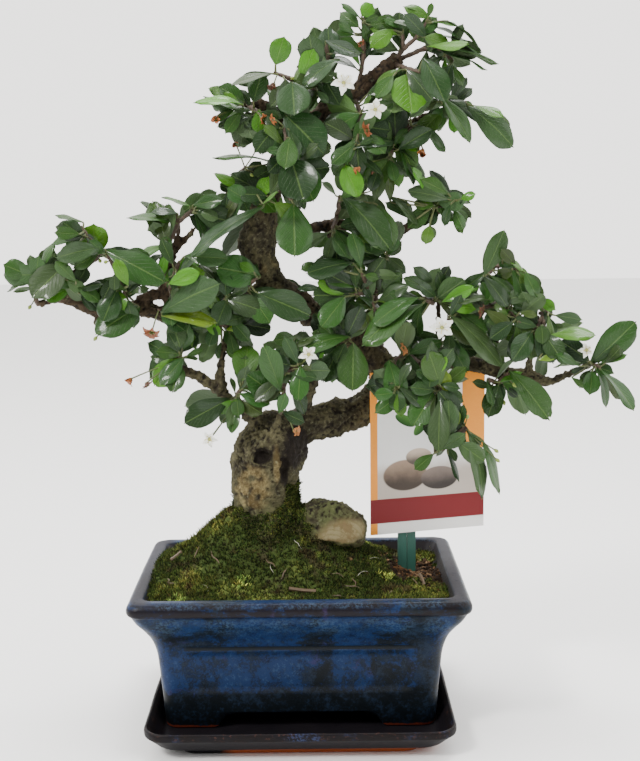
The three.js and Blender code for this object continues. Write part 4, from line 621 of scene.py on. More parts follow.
def saucer_glaze():
    finish = Finish("dark_speckled_glaze")
    x, _, z = finish.axes()
    grain = finish.noise(700, 3, 0.65)
    clouds = finish.noise(70, 6, 0.65)
    body = finish.mix(clouds, (0.003, 0.003, 0.0045), (0.012, 0.010, 0.012))
    lip = finish.band(z, 0.0125, 0.0185, 0.0006)
    lip_break = finish.step(clouds + (grain - 0.5) * 0.6, 0.35, 0.6)
    body = finish.mix(lip * lip_break, body, (0.008, 0.006, 0.006))
    specks = finish.step(finish.noise(480, 3, 0.7), 0.58, 0.66) * finish.step(z, 0.012, 0.016)
    body = finish.mix(specks * 0.5, body, (0.08, 0.035, 0.025))
    blue = finish.step(finish.noise(38, 6, 0.65), 0.55, 0.68) * finish.step(grain, 0.46, 0.58)
    body = finish.mix(blue * lip * 0.6, body, (0.035, 0.05, 0.12))
    bare = 1 - finish.step(z + (clouds - 0.5) * 0.001, 0.0041, 0.0048)
    bare = bare * finish.step(x + (clouds - 0.5) * 0.02, -0.046, -0.038)
    clay = finish.mix(clouds, (0.20, 0.045, 0.018), (0.34, 0.085, 0.03))
    body = finish.mix(bare, body, clay)
    return finish.finish(Base_Color=body, Roughness=0.3 + clouds * 0.3 + bare * 0.3,
                         Specular_IOR_Level=0.09, Normal=finish.bump(clouds + grain * 0.5, 0.4, 0.0004))


def moss_finish():
    finish = Finish("moss_green")
    patches = finish.noise(42, 5, 0.6)
    fine = finish.noise(300, 4, 0.65)
    tint = finish.tint()
    deep = finish.mix(patches, (0.024, 0.040, 0.010), (0.066, 0.094, 0.022))
    bright = finish.step(patches + (fine - 0.5) * 0.5, 0.52, 0.70)
    colour = finish.mix(bright, deep, (0.155, 0.185, 0.045))
    brown = finish.step(finish.noise(65, 5, 0.65), 0.53, 0.62)
    colour = finish.mix(brown * 0.8, colour, (0.040, 0.032, 0.018))
    colour = finish.times(colour, tint)
    return finish.finish(Base_Color=colour, Roughness=0.75, Specular_IOR_Level=0.1,
                         Normal=finish.bump(fine, 0.6, 0.0006))


def soil_finish():
    finish = Finish("dark_soil")
    tint = finish.tint()
    fine = finish.noise(380, 5, 0.7)
    crumbs = finish.cells(420)
    colour = finish.mix(fine, (0.007, 0.0045, 0.003), (0.045, 0.029, 0.018))
    colour = finish.mix(finish.step(finish.cells(170), 0.22, 0.08) * 0.6, colour, (0.09, 0.062, 0.038))
    colour = finish.times(colour, tint)
    return finish.finish(Base_Color=colour, Roughness=0.92, Specular_IOR_Level=0.1,
                         Normal=finish.bump(fine + crumbs, 0.9, 0.0012))


def bark_finish():
    """Bark: its vertex colour attribute holds ridge height with painted shade in red (low in cracks and
    inside the hollows), pale old wood in green, algae in blue
    """
    finish = Finish("old_bark")
    x, _, z = finish.axes()
    shade_and_wear = finish.tint("shade_and_wear")
    ridge_and_shade, pale, algae = [finish.node("ShaderNodeSeparateColor", None, {"Color": shade_and_wear}, part)
                          for part in ("Red", "Green", "Blue")]
    clouds = finish.noise(75, 6, 0.65)
    fine = finish.noise(430, 5, 0.7)
    fibre = finish.noise(760, 4, 0.7, finish.stretched((1, 1, 0.35)))
    colour = finish.mix(finish.step(clouds, 0.3, 0.7), (0.024, 0.021, 0.011), (0.088, 0.080, 0.040))
    colour = finish.mix(finish.step(fine, 0.5, 0.7) * 0.5, colour, (0.165, 0.15, 0.082))
    thick = (1 - finish.step(abs(x + 0.020), 0.014, 0.024)) * (1 - finish.step(z, 0.30, 0.34))
    reddish = finish.step(z, 0.2, 0.27) * (1 - thick) * 0.75
    colour = finish.mix(reddish, colour, finish.mix(fine, (0.016, 0.008, 0.005), (0.095, 0.058, 0.036)))
    # painted shade: near black where the red channel is low, in the bark's cracks and inside the hollows
    colour = finish.mix(finish.step(ridge_and_shade + (fine - 0.5) * 0.4, 0.05, 0.6),
                        (0.010, 0.007, 0.005), colour)
    old_wood = finish.mix(finish.step(clouds + (fine - 0.5) * 0.7, 0.36, 0.66), (0.072, 0.050, 0.018),
                          (0.235, 0.187, 0.085))
    colour = finish.mix(pale * 0.9, colour, old_wood)
    ring_middle = (0.020, -0.022, 0.104)
    away = finish.node("ShaderNodeVectorMath", {"operation": "DISTANCE"},
                       {0: finish.place, 1: ring_middle}, "Value")
    rings = finish.zigzag(away * 330 + clouds * 1.6)
    sawn = pale * finish.step(x, 0.002, 0.008) * (1 - finish.step(z, 0.132, 0.137))
    face = finish.mix(finish.step(rings, 0.0, 0.3), (0.168, 0.138, 0.070), (0.205, 0.175, 0.095))
    stain = finish.step(clouds + (fine - 0.5) * 0.4, 0.44, 0.6)
    face = finish.mix(stain * 0.8, face, (0.13, 0.085, 0.038))
    colour = finish.mix(sawn * 0.95, colour, face)
    green = algae * finish.step(clouds + (fine - 0.5) * 0.7, 0.38, 0.58) * finish.step(ridge_and_shade, 0.1, 0.5)
    colour = finish.mix(green * 0.75, colour,
                        finish.mix(fine, (0.022, 0.034, 0.008), (0.115, 0.135, 0.048)))
    lichen = finish.step(finish.noise(95, 5, 0.7), 0.58, 0.68) * finish.step(fine, 0.42, 0.6)
    colour = finish.mix(lichen * 0.5, colour, (0.20, 0.21, 0.13))
    return finish.finish(Base_Color=colour, Roughness=0.84, Specular_IOR_Level=0.2,
                         Normal=finish.bump(fine * 0.7 + fibre * 0.3, 1.0, 0.0012))


def twig_finish():
    finish = Finish("brown_twig")
    fine = finish.noise(500, 5, 0.7)
    tint = finish.tint()
    colour = finish.mix(finish.step(fine, 0.3, 0.7), (0.014, 0.007, 0.004), (0.115, 0.065, 0.038))
    colour = finish.node("ShaderNodeMix", {"data_type": "RGBA"}, {0: 0.55, 6: colour, 7: tint}, 2)
    return finish.finish(Base_Color=colour, Roughness=0.7, Normal=finish.bump(fine, 0.6, 0.0004))


def leaf_finish(name, under):
    """A leaf reads its own length and width from its UV map and its green from its tint"""
    finish = Finish(name)
    tint = finish.tint()
    across, along = finish.axes(finish.node("ShaderNodeUVMap", {"uv_map": "blade"}))[:2]
    off_rib = abs(across - 0.5)
    rib = 1 - finish.step(off_rib, 0.012, 0.035)
    lean = along * 9 - off_rib * 7
    beat = finish.zigzag(lean)
    veins = (1 - finish.step(beat, 0.02, 0.13)) * (1 - finish.step(off_rib, 0.3, 0.45))
    mottle = finish.noise(130, 5, 0.65)
    dust = finish.step(finish.cells(1100), 0.2, 0.08)
    colour = finish.mix((mottle - 0.5) * 1.1, tint, (0.005, 0.018, 0.003))
    colour = finish.mix(veins * 0.10, colour, (0.07, 0.14, 0.03))
    colour = finish.mix(rib * 0.3, colour, (0.13, 0.22, 0.05))
    colour = finish.mix(finish.step(off_rib, 0.44, 0.5) * 0.3, colour, (0.006, 0.014, 0.004))
    relief = mottle * 0.7 - veins * 0.45 - rib * 0.6
    if under:
        colour = finish.mix(0.5, colour, (0.065, 0.12, 0.035))
        return finish.finish(Base_Color=colour, Roughness=0.55,
                             Normal=finish.bump(rib + veins * 0.6, 0.5, 0.0005))
    colour = finish.mix(dust * 0.3, colour, (0.22, 0.26, 0.19))
    return finish.finish(Base_Color=colour, Roughness=0.3 + mottle * 0.25, Coat_Weight=0.16,
                         Coat_Roughness=0.1, Specular_IOR_Level=0.22,
                         Normal=finish.bump(relief, 0.7, 0.0006))


def petal_finish(name, colour, deep, roughness):
    finish = Finish(name)
    tint = finish.tint()
    fine = finish.noise(400, 4, 0.6)
    shade = finish.mix(finish.step(fine, 0.35, 0.8), deep, colour)
    shade = finish.times(shade, tint)
    return finish.finish(Base_Color=shade, Roughness=roughness, Normal=finish.bump(fine, 0.4, 0.0003))


# Pictured on the card, as shares of it: rounded stones with their colours, and a sprig's leaves
STONES = [
    (0.3, 0.36, 0.2, 0.1, (0.20, 0.14, 0.10)),
    (0.6, 0.33, 0.17, 0.075, (0.13, 0.10, 0.085)),
    (0.42, 0.47, 0.12, 0.055, (0.36, 0.29, 0.23)),
]
SPRIG = [(0.36, 0.84, 0.12, 0.6), (0.5, 0.9, 0.11, -0.3), (0.56, 0.76, 0.12, 0.2),
         (0.3, 0.7, 0.1, -0.5), (0.44, 0.66, 0.1, 0.9)]


def card_finish():
    """A glossy printed card: a band at its foot, a side strip, and a sprig over rounded stones"""
    finish = Finish("printed_card")
    x, y, z = finish.axes()
    dx = x - CARD["x"] * MM
    dy = y - CARD["y"] * MM
    across = (dx * math.cos(CARD["turn"]) + dy * math.sin(CARD["turn"])) / (CARD["width"] * MM)
    up = (z - CARD["bottom"] * MM) / (CARD["height"] * MM)
    clouds = finish.noise(55, 4, 0.6)
    fine = finish.noise(700, 3, 0.5)
    colour = finish.mix(finish.step(up + clouds * 0.2, 0.3, 0.95), (0.74, 0.73, 0.71), (0.84, 0.84, 0.82))
    sand = finish.band(up + (clouds - 0.5) * 0.1, 0.1, 0.42, 0.06)
    colour = finish.mix(sand * 0.7, colour, (0.34, 0.26, 0.19))
    for centre_x, centre_z, size_x, size_z, tone in STONES:
        far = ((across - centre_x) / size_x) ** 2 + ((up - centre_z) / size_z) ** 2
        inside = 1 - finish.step(far, 0.82, 1)
        light = finish.step((up - centre_z) / size_z + (clouds - 0.5) * 1.4, -0.7, 1.0)
        stone = finish.mix(light, shaded(tone, 0.22), shaded(tone, 1.5))
        colour = finish.mix(inside, colour, stone)
    for centre_x, centre_z, size, turn in SPRIG:
        dx = across - centre_x
        dz = (up - centre_z) * 1.35
        long = (dx * math.cos(turn) + dz * math.sin(turn)) / size
        short = (dz * math.cos(turn) - dx * math.sin(turn)) / (size * 0.42)
        inside = 1 - finish.step(long ** 2 + short ** 2, 0.85, 1)
        green = finish.mix(finish.step(short, -0.9, 0.9), (0.02, 0.07, 0.015), (0.08, 0.2, 0.04))
        colour = finish.mix(inside, colour, green)
    edge = 0.002
    band = finish.band(up, 0.07, 0.22, edge)
    colour = finish.mix(band, colour, (0.15, 0.004, 0.006))
    strip = finish.band(across, 0.8, 2, edge) * finish.step(up, 0.5 - edge, 0.5 + edge)
    strip = strip + finish.band(across, -1, 0.06, edge)
    orange = finish.mix(fine, (0.78, 0.26, 0.020), (0.84, 0.32, 0.03))
    colour = finish.mix(strip * (1 - band), colour, orange)
    return finish.finish(Base_Color=colour, Roughness=0.3 + fine * 0.08, Specular_IOR_Level=0.25)


def plastic_finish(name, colour, roughness):
    finish = Finish(name)
    fine = finish.noise(900, 3, 0.5)
    scuffs = finish.noise(160, 6, 0.7, finish.stretched((1, 1, 0.2)))
    shade = finish.mix(finish.step(scuffs, 0.5, 0.8) * 0.5, colour, shaded(colour, 1.8))
    return finish.finish(Base_Color=shade, Roughness=roughness + scuffs * 0.2,
                         Normal=finish.bump(fine, 0.3, 0.0002))


def floor_finish():
    finish = Finish("pale_floor")
    return finish.finish(Base_Color=(0.84, 0.84, 0.835), Roughness=0.55)


# Small finished shapes, and clusters that hold many copies of them
class Shape:
    """Points, faces, blade coordinates and material numbers of a small mesh"""

    def __init__(self, mesh):
        self.points = [vertex.co.copy() for vertex in mesh.vertices]
        self.faces = [tuple(face.vertices) for face in mesh.polygons]
        self.materials = [face.material_index for face in mesh.polygons]
        self.uvs = [(0.5, 0.5)] * len(mesh.loops)
        if mesh.uv_layers:
            self.uvs = [tuple(loop.uv) for loop in mesh.uv_layers[0].data]
        self.heights = [self.points[loop.vertex_index].z for loop in mesh.loops]
        bpy.data.meshes.remove(mesh)


class Cluster:
    def __init__(self):
        self.points = []
        self.faces = []
        self.uvs = []
        self.tints = []
        self.materials = []

    def add(self, shape, points, tint=(1, 1, 1), material=0, foot=1):
        """Places a shape; its tint is multiplied by the foot share where the shape's height is 0"""
        start = len(self.points)
        self.points += [point * MM for point in points]
        self.faces += [[start + corner for corner in face] for face in shape.faces]
        self.uvs += shape.uvs
        if foot == 1:
            self.tints += [(*tint, 1)] * len(shape.uvs)
        else:
            ends = ((*shaded(tint, foot), 1), (*tint, 1))
            self.tints += [ends[height > 0.5] for height in shape.heights]
        self.materials += [material + part for part in shape.materials]

    def piece(self, name, materials, nodes=()):
        mesh = bpy.data.meshes.new(name)
        mesh.from_pydata(self.points, [], self.faces)
        blade = mesh.uv_layers.new(name="blade")
        blade.data.foreach_set("uv", [part for uv in self.uvs for part in uv])
        tint = mesh.color_attributes.new("tint", "FLOAT_COLOR", "CORNER")
        tint.data.foreach_set("color", [part for colour in self.tints for part in colour])
        mesh.polygons.foreach_set("material_index", self.materials)
        return as_piece(name, mesh, materials, nodes)


def as_piece(name, mesh, materials, nodes=(), sharp_from=50):
    for material in materials:
        mesh.materials.append(material)
    mesh.polygons.foreach_set("use_smooth", [True] * len(mesh.polygons))
    mesh.set_sharp_from_angle(angle=math.radians(sharp_from))
    mesh.update()
    made = add_object(name, mesh)
    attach(made, "root")
    if nodes:
        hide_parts(*nodes)
    return made


def mesh_from(bm, name, scale=1):
    bmesh.ops.scale(bm, vec=(scale, scale, scale), verts=bm.verts[:])
    mesh = bpy.data.meshes.new(name)
    bm.to_mesh(mesh)
    bm.free()
    return mesh


def evaluated_mesh(name, data, shape_it=None):
    """The mesh that an object holding this data gives, once its modifiers are applied"""
    holder = add_object(name, data)
    if shape_it:
        shape_it(holder)
    bpy.context.view_layer.update()
    mesh = bpy.data.meshes.new_from_object(holder.evaluated_get(bpy.context.evaluated_depsgraph_get()))
    bpy.data.objects.remove(holder)
    return mesh


def strands_mesh(strands, roundness, steps=4, scale=1):
    """One mesh of round tapering strands: lists of a place and a radius, in millimetres"""
    curve = bpy.data.curves.new("strands", "CURVE")
    curve.dimensions = "3D"
    curve.bevel_depth = 1
    curve.bevel_resolution = roundness
    curve.use_fill_caps = True
    for strand in strands:
        spline = curve.splines.new("NURBS")
        spline.points.add(len(strand) - 1)
        for point, (place, radius) in zip(spline.points, strand):
            point.co = (*place, 1)
            point.radius = radius
        spline.order_u = min(3, len(strand))
        spline.use_endpoint_u = True
        spline.resolution_u = steps
    mesh = evaluated_mesh("strands", curve)
    bpy.data.curves.remove(curve)
    bm = bmesh.new()
    bm.from_mesh(mesh)
    bpy.data.meshes.remove(mesh)
    bmesh.ops.remove_doubles(bm, verts=bm.verts[:], dist=0.001)
    bmesh.ops.recalc_face_normals(bm, faces=bm.faces[:])
    return mesh_from(bm, "strands", scale)


def blade_shape(columns, rows):
    """A thin blade in shares: across from -1 to 1, along from 0 to 1, over 1 and under -1"""
    bm = bmesh.new()
    bm.loops.layers.uv.new("blade")
    bmesh.ops.create_grid(bm, x_segments=columns, y_segments=rows, size=1, calc_uvs=True)
    bmesh.ops.solidify(bm, geom=bm.faces[:], thickness=0.5)
    bm.normal_update()
    over = max(vertex.co.z for vertex in bm.verts)
    under = min(vertex.co.z for vertex in bm.verts)
    for face in bm.faces:
        face.material_index = 1 if face.normal.z < -0.5 else 0
    for vertex in bm.verts:
        side = 1 if abs(vertex.co.z - over) < abs(vertex.co.z - under) else -1
        vertex.co = (vertex.co.x, (vertex.co.y + 1) / 2, side)
    return Shape(mesh_from(bm, "blade"))


# Where each leaf stands: the same rule as in the part's own source
def nearest_on_stems(stems, x, z, order=0):
    best = None
    for stem in stems:
        for i, ((ax, az, ay), (bx, bz, by)) in enumerate(zip(stem, stem[1:])):
            across = (x - ax) * (bx - ax) + (z - az) * (bz - az)
            length = (bx - ax) ** 2 + (bz - az) ** 2
            first = 0.55 if i == 0 else 0
            last = 0.92 - 0.06 * (order % 5) if i + 2 == len(stem) else 1
            part = min(last, max(first, across / max(length, 1)))
            spot = (ax + (bx - ax) * part, az + (bz - az) * part, ay + (by - ay) * part)
            distance = math.hypot(spot[0] - x, spot[1] - z)
            if best is None or distance < best[0]:
                best = (distance, spot)
    return best[1]


def rooted_stems(stems):
    first, *others = stems
    rooted = [first]
    for order, stem in enumerate(others):
        start = nearest_on_stems([first], stem[0][0], stem[0][1], order)
        rooted.append([start, *stem[1:]])
    return rooted


def behind_stems(stems, joined):
    middle = stems[0][0][2]
    behind = [[(x, z, 2 * middle - y + BEHIND_SET) for x, z, y in stem] for stem in stems]
    if joined:
        for strand, (start, following, *_) in zip(behind, stems):
            strand[0] = tuple(a + (b - a) * JOINT_PART for a, b in zip(start, following))
    return behind


def behind_leaves(leaves, tones, draw):
    others = []
    for (foot_x, foot_z, tip_x, tip_z, shown), tone in zip(leaves, tones):
        keep = next(draw)
        turn = (next(draw) - 0.5) * 0.9
        size = 0.72 + 0.2 * next(draw)
        if shown >= 7 and keep < 0.8:
            dx = (tip_x - foot_x) * size
            dz = (tip_z - foot_z) * size
            new_x = foot_x + dx * math.cos(turn) - dz * math.sin(turn)
            new_z = foot_z + dx * math.sin(turn) + dz * math.cos(turn)
            width = min(max(shown, 0.3 * math.hypot(dx, dz)), 17)
            others.append(((foot_x, foot_z, new_x, new_z, width), tone))
    return others


class Leaf:
    """The place of one leaf: its root, the foot of its blade, its axes and its size.
    A reading is the foot and tip on the middle plane, and the width that shows there."""

    def __init__(self, stem_spot, reading, tone, facing, shift, lean, lift):
        foot_x, foot_z, tip_x, tip_z, shown = reading
        self.tone = tone
        self.reading = reading
        flat = math.hypot(tip_x - foot_x, tip_z - foot_z)
        depth = stem_spot[2] - facing * lift + shift
        self.foot = seen(foot_x, foot_z, depth)
        stem = seen(*stem_spot)
        self.root = stem + (self.foot - stem).normalized() * ROOT_SINK
        tip = seen(tip_x, tip_z, depth - facing * lean * flat)
        self.along = tip - self.foot
        self.length = self.along.length
        self.along.normalize()
        self.width = min(max(shown, 0.42 * self.length), 2.4 * shown)
        open_share = shown / self.width
        front = Vector((0, -facing, 0.2))
        front = (front - self.along * front.dot(self.along)).normalized()
        flank = self.along.cross(front)
        if flank.z < 0:
            flank.negate()
        self.normal = front * open_share + flank * math.sqrt(1 - min(1, open_share ** 2))
        self.side = self.along.cross(self.normal)
        self.light = 1
        self.notched = shown >= NARROW and not (facing > 0 and shown > BROAD)

    def on(self, part, across, lift=0):
        arch = BLADE_ARCH * self.length * math.sin(math.pi * min(part, 1))
        return (self.foot + self.along * part * self.length
                + self.side * across * self.width / 2 + self.normal * (arch + lift))


def tree_of(points):
    tree = kdtree.KDTree(len(points))
    for i, point in enumerate(points):
        tree.insert(point, i)
    tree.balance()
    return tree


def find_leaf(tree, side, order, lean, lift):
    """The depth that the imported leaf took: its tip or the middle of its blade is a corner there"""
    reading, tone = side["leaves"][order]
    spot = nearest_on_stems(side["stems"], *reading[:2], order)
    for shift in DEPTH_TRIES:
        leaf = Leaf(spot, reading, tone, side["facing"], shift, lean, lift)
        tip = leaf.on(0.9 if leaf.notched else 1, 0)
        crown = leaf.on(WIDEST, 0, LEAF_THICK / 2)
        if tree.find(tip)[2] < FOUND or tree.find(crown)[2] < FOUND:
            return leaf, True
    return Leaf(spot, reading, tone, side["facing"], 0, lean, lift), False


def lay_out_shoots():
    """Node name to its sides, each with its stems and its placed leaves"""
    draw = seeded_draw(1453)
    shoots = []
    for name, shoot in SHOOTS.items():
        stems = rooted_stems(shoot["stems"])
        front = {"stems": stems, "leaves": list(zip(shoot["leaves"], shoot["tones"])), "facing": 1}
        shoots.append((f"shoot_{name}", [front]))
        behind = shoot.get("behind")
        if behind:
            leaves = behind_leaves(shoot["leaves"], shoot["tones"], draw)
            side = {"stems": behind_stems(stems, behind == "joined"), "leaves": leaves, "facing": -1}
            if behind == "joined":
                shoots[-1][1].append(side)
            else:
                shoots.append((f"shoot_{name}_behind", [side]))
    for name, sides in shoots:
        tree = tree_of([vertex.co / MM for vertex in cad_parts[name].data.vertices])
        for side in sides:
            side["placed"] = []
            for order in range(len(side["leaves"])):
                lean = 0.15 + 0.4 * next(draw)
                lift = 1 + 3 * next(draw)
                leaf, found = find_leaf(tree, side, order, lean, lift)
                if found or side["facing"] > 0:
                    side["placed"].append(leaf)
    return shoots


# Leaf greens by the tone noted for each leaf; g, a grey green, is a painted sheen
TONES = {
    "d": (0.0090, 0.032, 0.0050),
    "m": (0.0180, 0.061, 0.0070),
    # painted reflection: g is the grey-green sheen of a glossy leaf
    "g": (0.029, 0.062, 0.018),
    "b": (0.050, 0.165, 0.006),
    "l": (0.038, 0.106, 0.008),
    "y": (0.090, 0.180, 0.008),
    "o": (0.027, 0.052, 0.007),
}


def leaf_width(part, roundness):
    """Half width share of the blade: wedge-shaped at its foot, widest past the middle, blunt"""
    widest = 0.64 - 0.1 * roundness
    if part < widest:
        return 0.035 + 0.965 * math.sin(math.pi / 2 * (part / widest) ** (1.25 - 0.55 * roundness))
    rest = (part - widest) / (1 - widest)
    return 0.2 + 0.8 * math.sqrt(max(0, 1 - rest ** 2.3))


def bent_blade(leaf, shape, rng):
    """The blade's points: blunt tip with shallow teeth, sunken rib, a cup or rolled edges, and a twist"""
    roundness = min(1, max(0, (leaf.width / leaf.length - 0.38) / 0.45))
    cup = rng.uniform(-0.1, 0.3)
    roll = rng.uniform(0.02, 0.2)
    curl = rng.uniform(-0.2, 0.05)
    twist = rng.uniform(-0.5, 0.5)
    wave = rng.uniform(0, 6)
    ripple = rng.uniform(0.01, 0.05)
    teeth = rng.uniform(0.01, 0.035)
    points = []
    for across, part, face in shape.points:
        part = 1 - (1 - part) ** 1.5
        round_tip = 1 - 0.07 * across ** 2 + teeth * math.cos(3 * math.pi * across)
        along = part - (1 - round_tip) * part ** 5
        half = leaf_width(part, roundness) * leaf.width / 2
        angle = twist * part
        flat = across * half
        hollow = cup * abs(across) ** 1.4 - roll * across ** 4 - 0.1 * (1 - abs(across)) ** 3
        lift = half * hollow + leaf.width * ripple * math.sin(8 * part + wave + across) * across
        arch = BLADE_ARCH * leaf.length * math.sin(math.pi * part) + curl * leaf.length * part ** 2.2
        thick = FINE_LEAF_THICK / 2 * face * (1 - 0.5 * abs(across))
        points.append(
            leaf.foot + leaf.along * along * leaf.length
            + leaf.side * (flat * math.cos(angle))
            + leaf.normal * (arch + lift + thick + flat * math.sin(angle)))
    return points


LEAF_SHAPE = blade_shape(6, 9)
SMALL_LEAF_SHAPE = blade_shape(4, 7)


def add_leaf(cluster, strands, leaf, rng):
    shade = rng.uniform(0.75, 1.25) * leaf.light
    tone = TONES[leaf.tone]
    tint = (tone[0] * shade * rng.uniform(0.85, 1.2), tone[1] * shade, tone[2] * shade)
    shape = SMALL_LEAF_SHAPE if leaf.length < SMALL_LEAF else LEAF_SHAPE
    cluster.add(shape, bent_blade(leaf, shape, rng), tint)
    sag = leaf.root.lerp(leaf.foot, 0.55) + Vector((0, 0, -0.4))
    end = leaf.foot + leaf.along * leaf.length * 0.06
    strands.append([(leaf.root, 0.75), (sag, 0.62), (leaf.foot, 0.55), (end, 0.4)])


def add_strands(cluster, strands, tint, material, roundness=1, steps=3):
    if strands:
        shape = Shape(strands_mesh(strands, roundness, steps))
        cluster.add(shape, shape.points, tint, material)


# Outline of the foliage, read on the middle plane
OUTLINE = [
    (31, 439), (47, 440), (59, 433), (82, 438), (121, 413), (123, 403), (101, 399), (134, 363),
    (132, 351), (105, 354), (92, 363), (79, 346), (112, 324), (106, 302), (82, 295), (67, 299),
    (64, 284), (89, 286), (113, 278), (120, 302), (133, 300), (139, 283), (154, 271), (163, 252),
    (188, 239), (211, 246), (215, 190), (189, 201), (159, 183), (132, 200), (127, 171), (131, 136),
    (108, 151), (83, 164), (54, 185), (42, 203), (17, 201), (6, 178), (-38, 178), (-71, 177),
    (-73, 202), (-106, 211), (-92, 234), (-124, 236), (-150, 261), (-182, 269), (-181, 286), (-151, 303),
    (-144, 317), (-113, 299), (-81, 295), (-101, 314), (-89, 323), (-51, 330), (-34, 323), (-47, 340),
    (-29, 344), (-44, 354), (-36, 365), (-51, 370), (-61, 384), (-30, 394), (-14, 405), (-18, 418),
    (4, 421),
]


def in_outline(x, z):
    inside = False
    for (ax, az), (bx, bz) in zip(OUTLINE, OUTLINE[1:] + OUTLINE[:1]):
        if (az > z) != (bz > z) and x < ax + (bx - ax) * (z - az) / (bz - az):
            inside = not inside
    return inside


def reading_points(reading):
    """Points of a leaf on the middle plane: its rib and its two edges"""
    foot_x, foot_z, tip_x, tip_z, shown = reading
    length = max(1, math.hypot(tip_x - foot_x, tip_z - foot_z))
    side_x = (tip_z - foot_z) / length * shown / 2
    side_z = -(tip_x - foot_x) / length * shown / 2
    return [(foot_x + (tip_x - foot_x) * part + side_x * across,
             foot_z + (tip_z - foot_z) * part + side_z * across) for part, across in BLADE_MARKS]


def cells_of(reading):
    return [(round(x / CELL), round(z / CELL)) for x, z in reading_points(reading)]


def near_flower(x, z, depth):
    return any(depth < fy + 9 and math.hypot(x - fx, z - fz) < size / 2 + 1.5
               for fx, fz, fy, size in FLOWERS)


def fill_shoots(shoots):
    """More leaves from the same twigs, close to the leaves read from the photo but not over them"""
    rng = random.Random(90)
    known = [leaf.reading for _, sides in shoots for side in sides for leaf in side["placed"]
             if side["facing"] > 0]
    foliage = tree_of([(x, z, 0) for reading in known for x, z in reading_points(reading)])
    for facing in (1, -1):
        sides = [side for _, shoot_sides in shoots for side in shoot_sides
                 if side["facing"] == facing or facing < 0]
        covered = set()
        for side in sides:
            if side["facing"] == facing:
                for leaf in side["placed"]:
                    covered.update(cells_of(leaf.reading))
        wanted = FILL_COUNT if facing > 0 else FILL_BEHIND
        for attempt in range(FILL_TRIES):
            if wanted == 0:
                break
            side = rng.choice(sides)
            stem = rng.choice(side["stems"])
            i = rng.randrange(len(stem) - 1)
            part = rng.uniform(0.5 if i == 0 else 0, 1)
            spot = tuple(a + (b - a) * part for a, b in zip(stem[i], stem[i + 1]))
            turn = rng.uniform(0, 2 * math.pi)
            length = rng.uniform(9, 25)
            shown = length * rng.uniform(0.3, 0.72)
            stalk = rng.uniform(1.2, 4.5)
            foot_x = spot[0] + math.cos(turn) * stalk
            foot_z = spot[1] + math.sin(turn) * stalk
            bend = turn + rng.uniform(-0.5, 0.5)
            reading = (foot_x, foot_z, foot_x + math.cos(bend) * length,
                       foot_z + math.sin(bend) * length, shown)
            points = reading_points(reading)
            if not all(foliage.find((x, z, 0))[2] < FILL_REACH and in_outline(x, z)
                       and not near_flower(x, z, spot[2]) for x, z in points):
                continue
            cells = cells_of(reading)
            free = sum(cell not in covered for cell in cells) / len(cells)
            if free < (0.4 if attempt < FILL_TRIES * 0.5 else 0.22):
                continue
            lift = rng.uniform(-3, 6) if facing > 0 else rng.uniform(-2, 9)
            leaf = Leaf(spot, reading, rng.choice("dddmmmmglobg"), facing, 0,
                        rng.uniform(-0.45, 0.5), lift)
            if facing > 0 and behind_card(leaf):
                continue
            covered.update(cells)
            # painted shade: the added leaves are darkened as if shaded inside the crown
            leaf.light = rng.uniform(0.55, 1.05)
            side["placed"].append(leaf)
            wanted -= 1


# Leaves that hang clear of the twigs they grow from: foot, tip and width that shows, and tone
EXTRA_LEAVES = [
    (50, 320, 60, 294, 13, "m"), (58, 320, 57, 340, 8, "o"), (48, 320, 53, 338, 9, "g"),
    (72, 309, 57, 322, 7, "g"), (46, 327, 50, 338, 8, "d"), (83, 427, 99, 424, 4, "l"),
    (92, 428, 114, 413, 4, "m"), (-47, 236, -51, 225, 4, "d"), (116, 172, 126, 137, 11, "m"),
    (76, 249, 66, 239, 6, "d"), (17, 267, 1, 270, 5, "d"), (-67, 244, -63, 231, 5, "l"),
    (63, 420, 46, 423, 7, "b"), (83, 429, 67, 437, 8, "l"), (-55, 385, -35, 377, 5, "m"),
]


def nearest_side(shoots, x, z):
    """The front side of a shoot whose stem comes nearest to a place, and the spot on that stem"""
    found = []
    for _, sides in shoots:
        for side in sides:
            if side["facing"] > 0:
                spot = nearest_on_stems(side["stems"], x, z)
                found.append((math.hypot(spot[0] - x, spot[1] - z), side, spot))
    return min(found, key=lambda row: row[0])[1:]


def add_extra_leaves(shoots):
    for *reading, tone in EXTRA_LEAVES:
        side, spot = nearest_side(shoots, *reading[:2])
        leaf = Leaf(spot, tuple(reading), tone, 1, 0, 0.1, 1)
        side["placed"].append(leaf)


def behind_card(leaf):
    tip = leaf.on(1, 0)
    low = min(leaf.foot.z, tip.z) < CARD["bottom"] + CARD["height"] + 6
    return low and 30 < max(leaf.foot.x, tip.x) and max(leaf.foot.y, tip.y) > -4


def knobbly(stem, rng):
    """A twig with the knuckles that old leaves left on it"""
    strand = []
    for i, (start, end) in enumerate(zip(stem, stem[1:])):
        steps = max(2, round(math.dist(start, end) / 2.6))
        for step in range(steps):
            part = step / steps
            place = seen(*(a + (b - a) * part for a, b in zip(start, end)))
            swell = 1.35 if step % 2 else 0.85
            taper = 1.1 - 0.4 * (i + part) / len(stem)
            radius = STEM_RADIUS * taper * swell * rng.uniform(0.9, 1.15)
            strand.append((place + Vector([rng.gauss(0, 0.25) for _ in range(3)]), radius))
    return strand + [(seen(*stem[-1]), STEM_RADIUS * 0.6)]


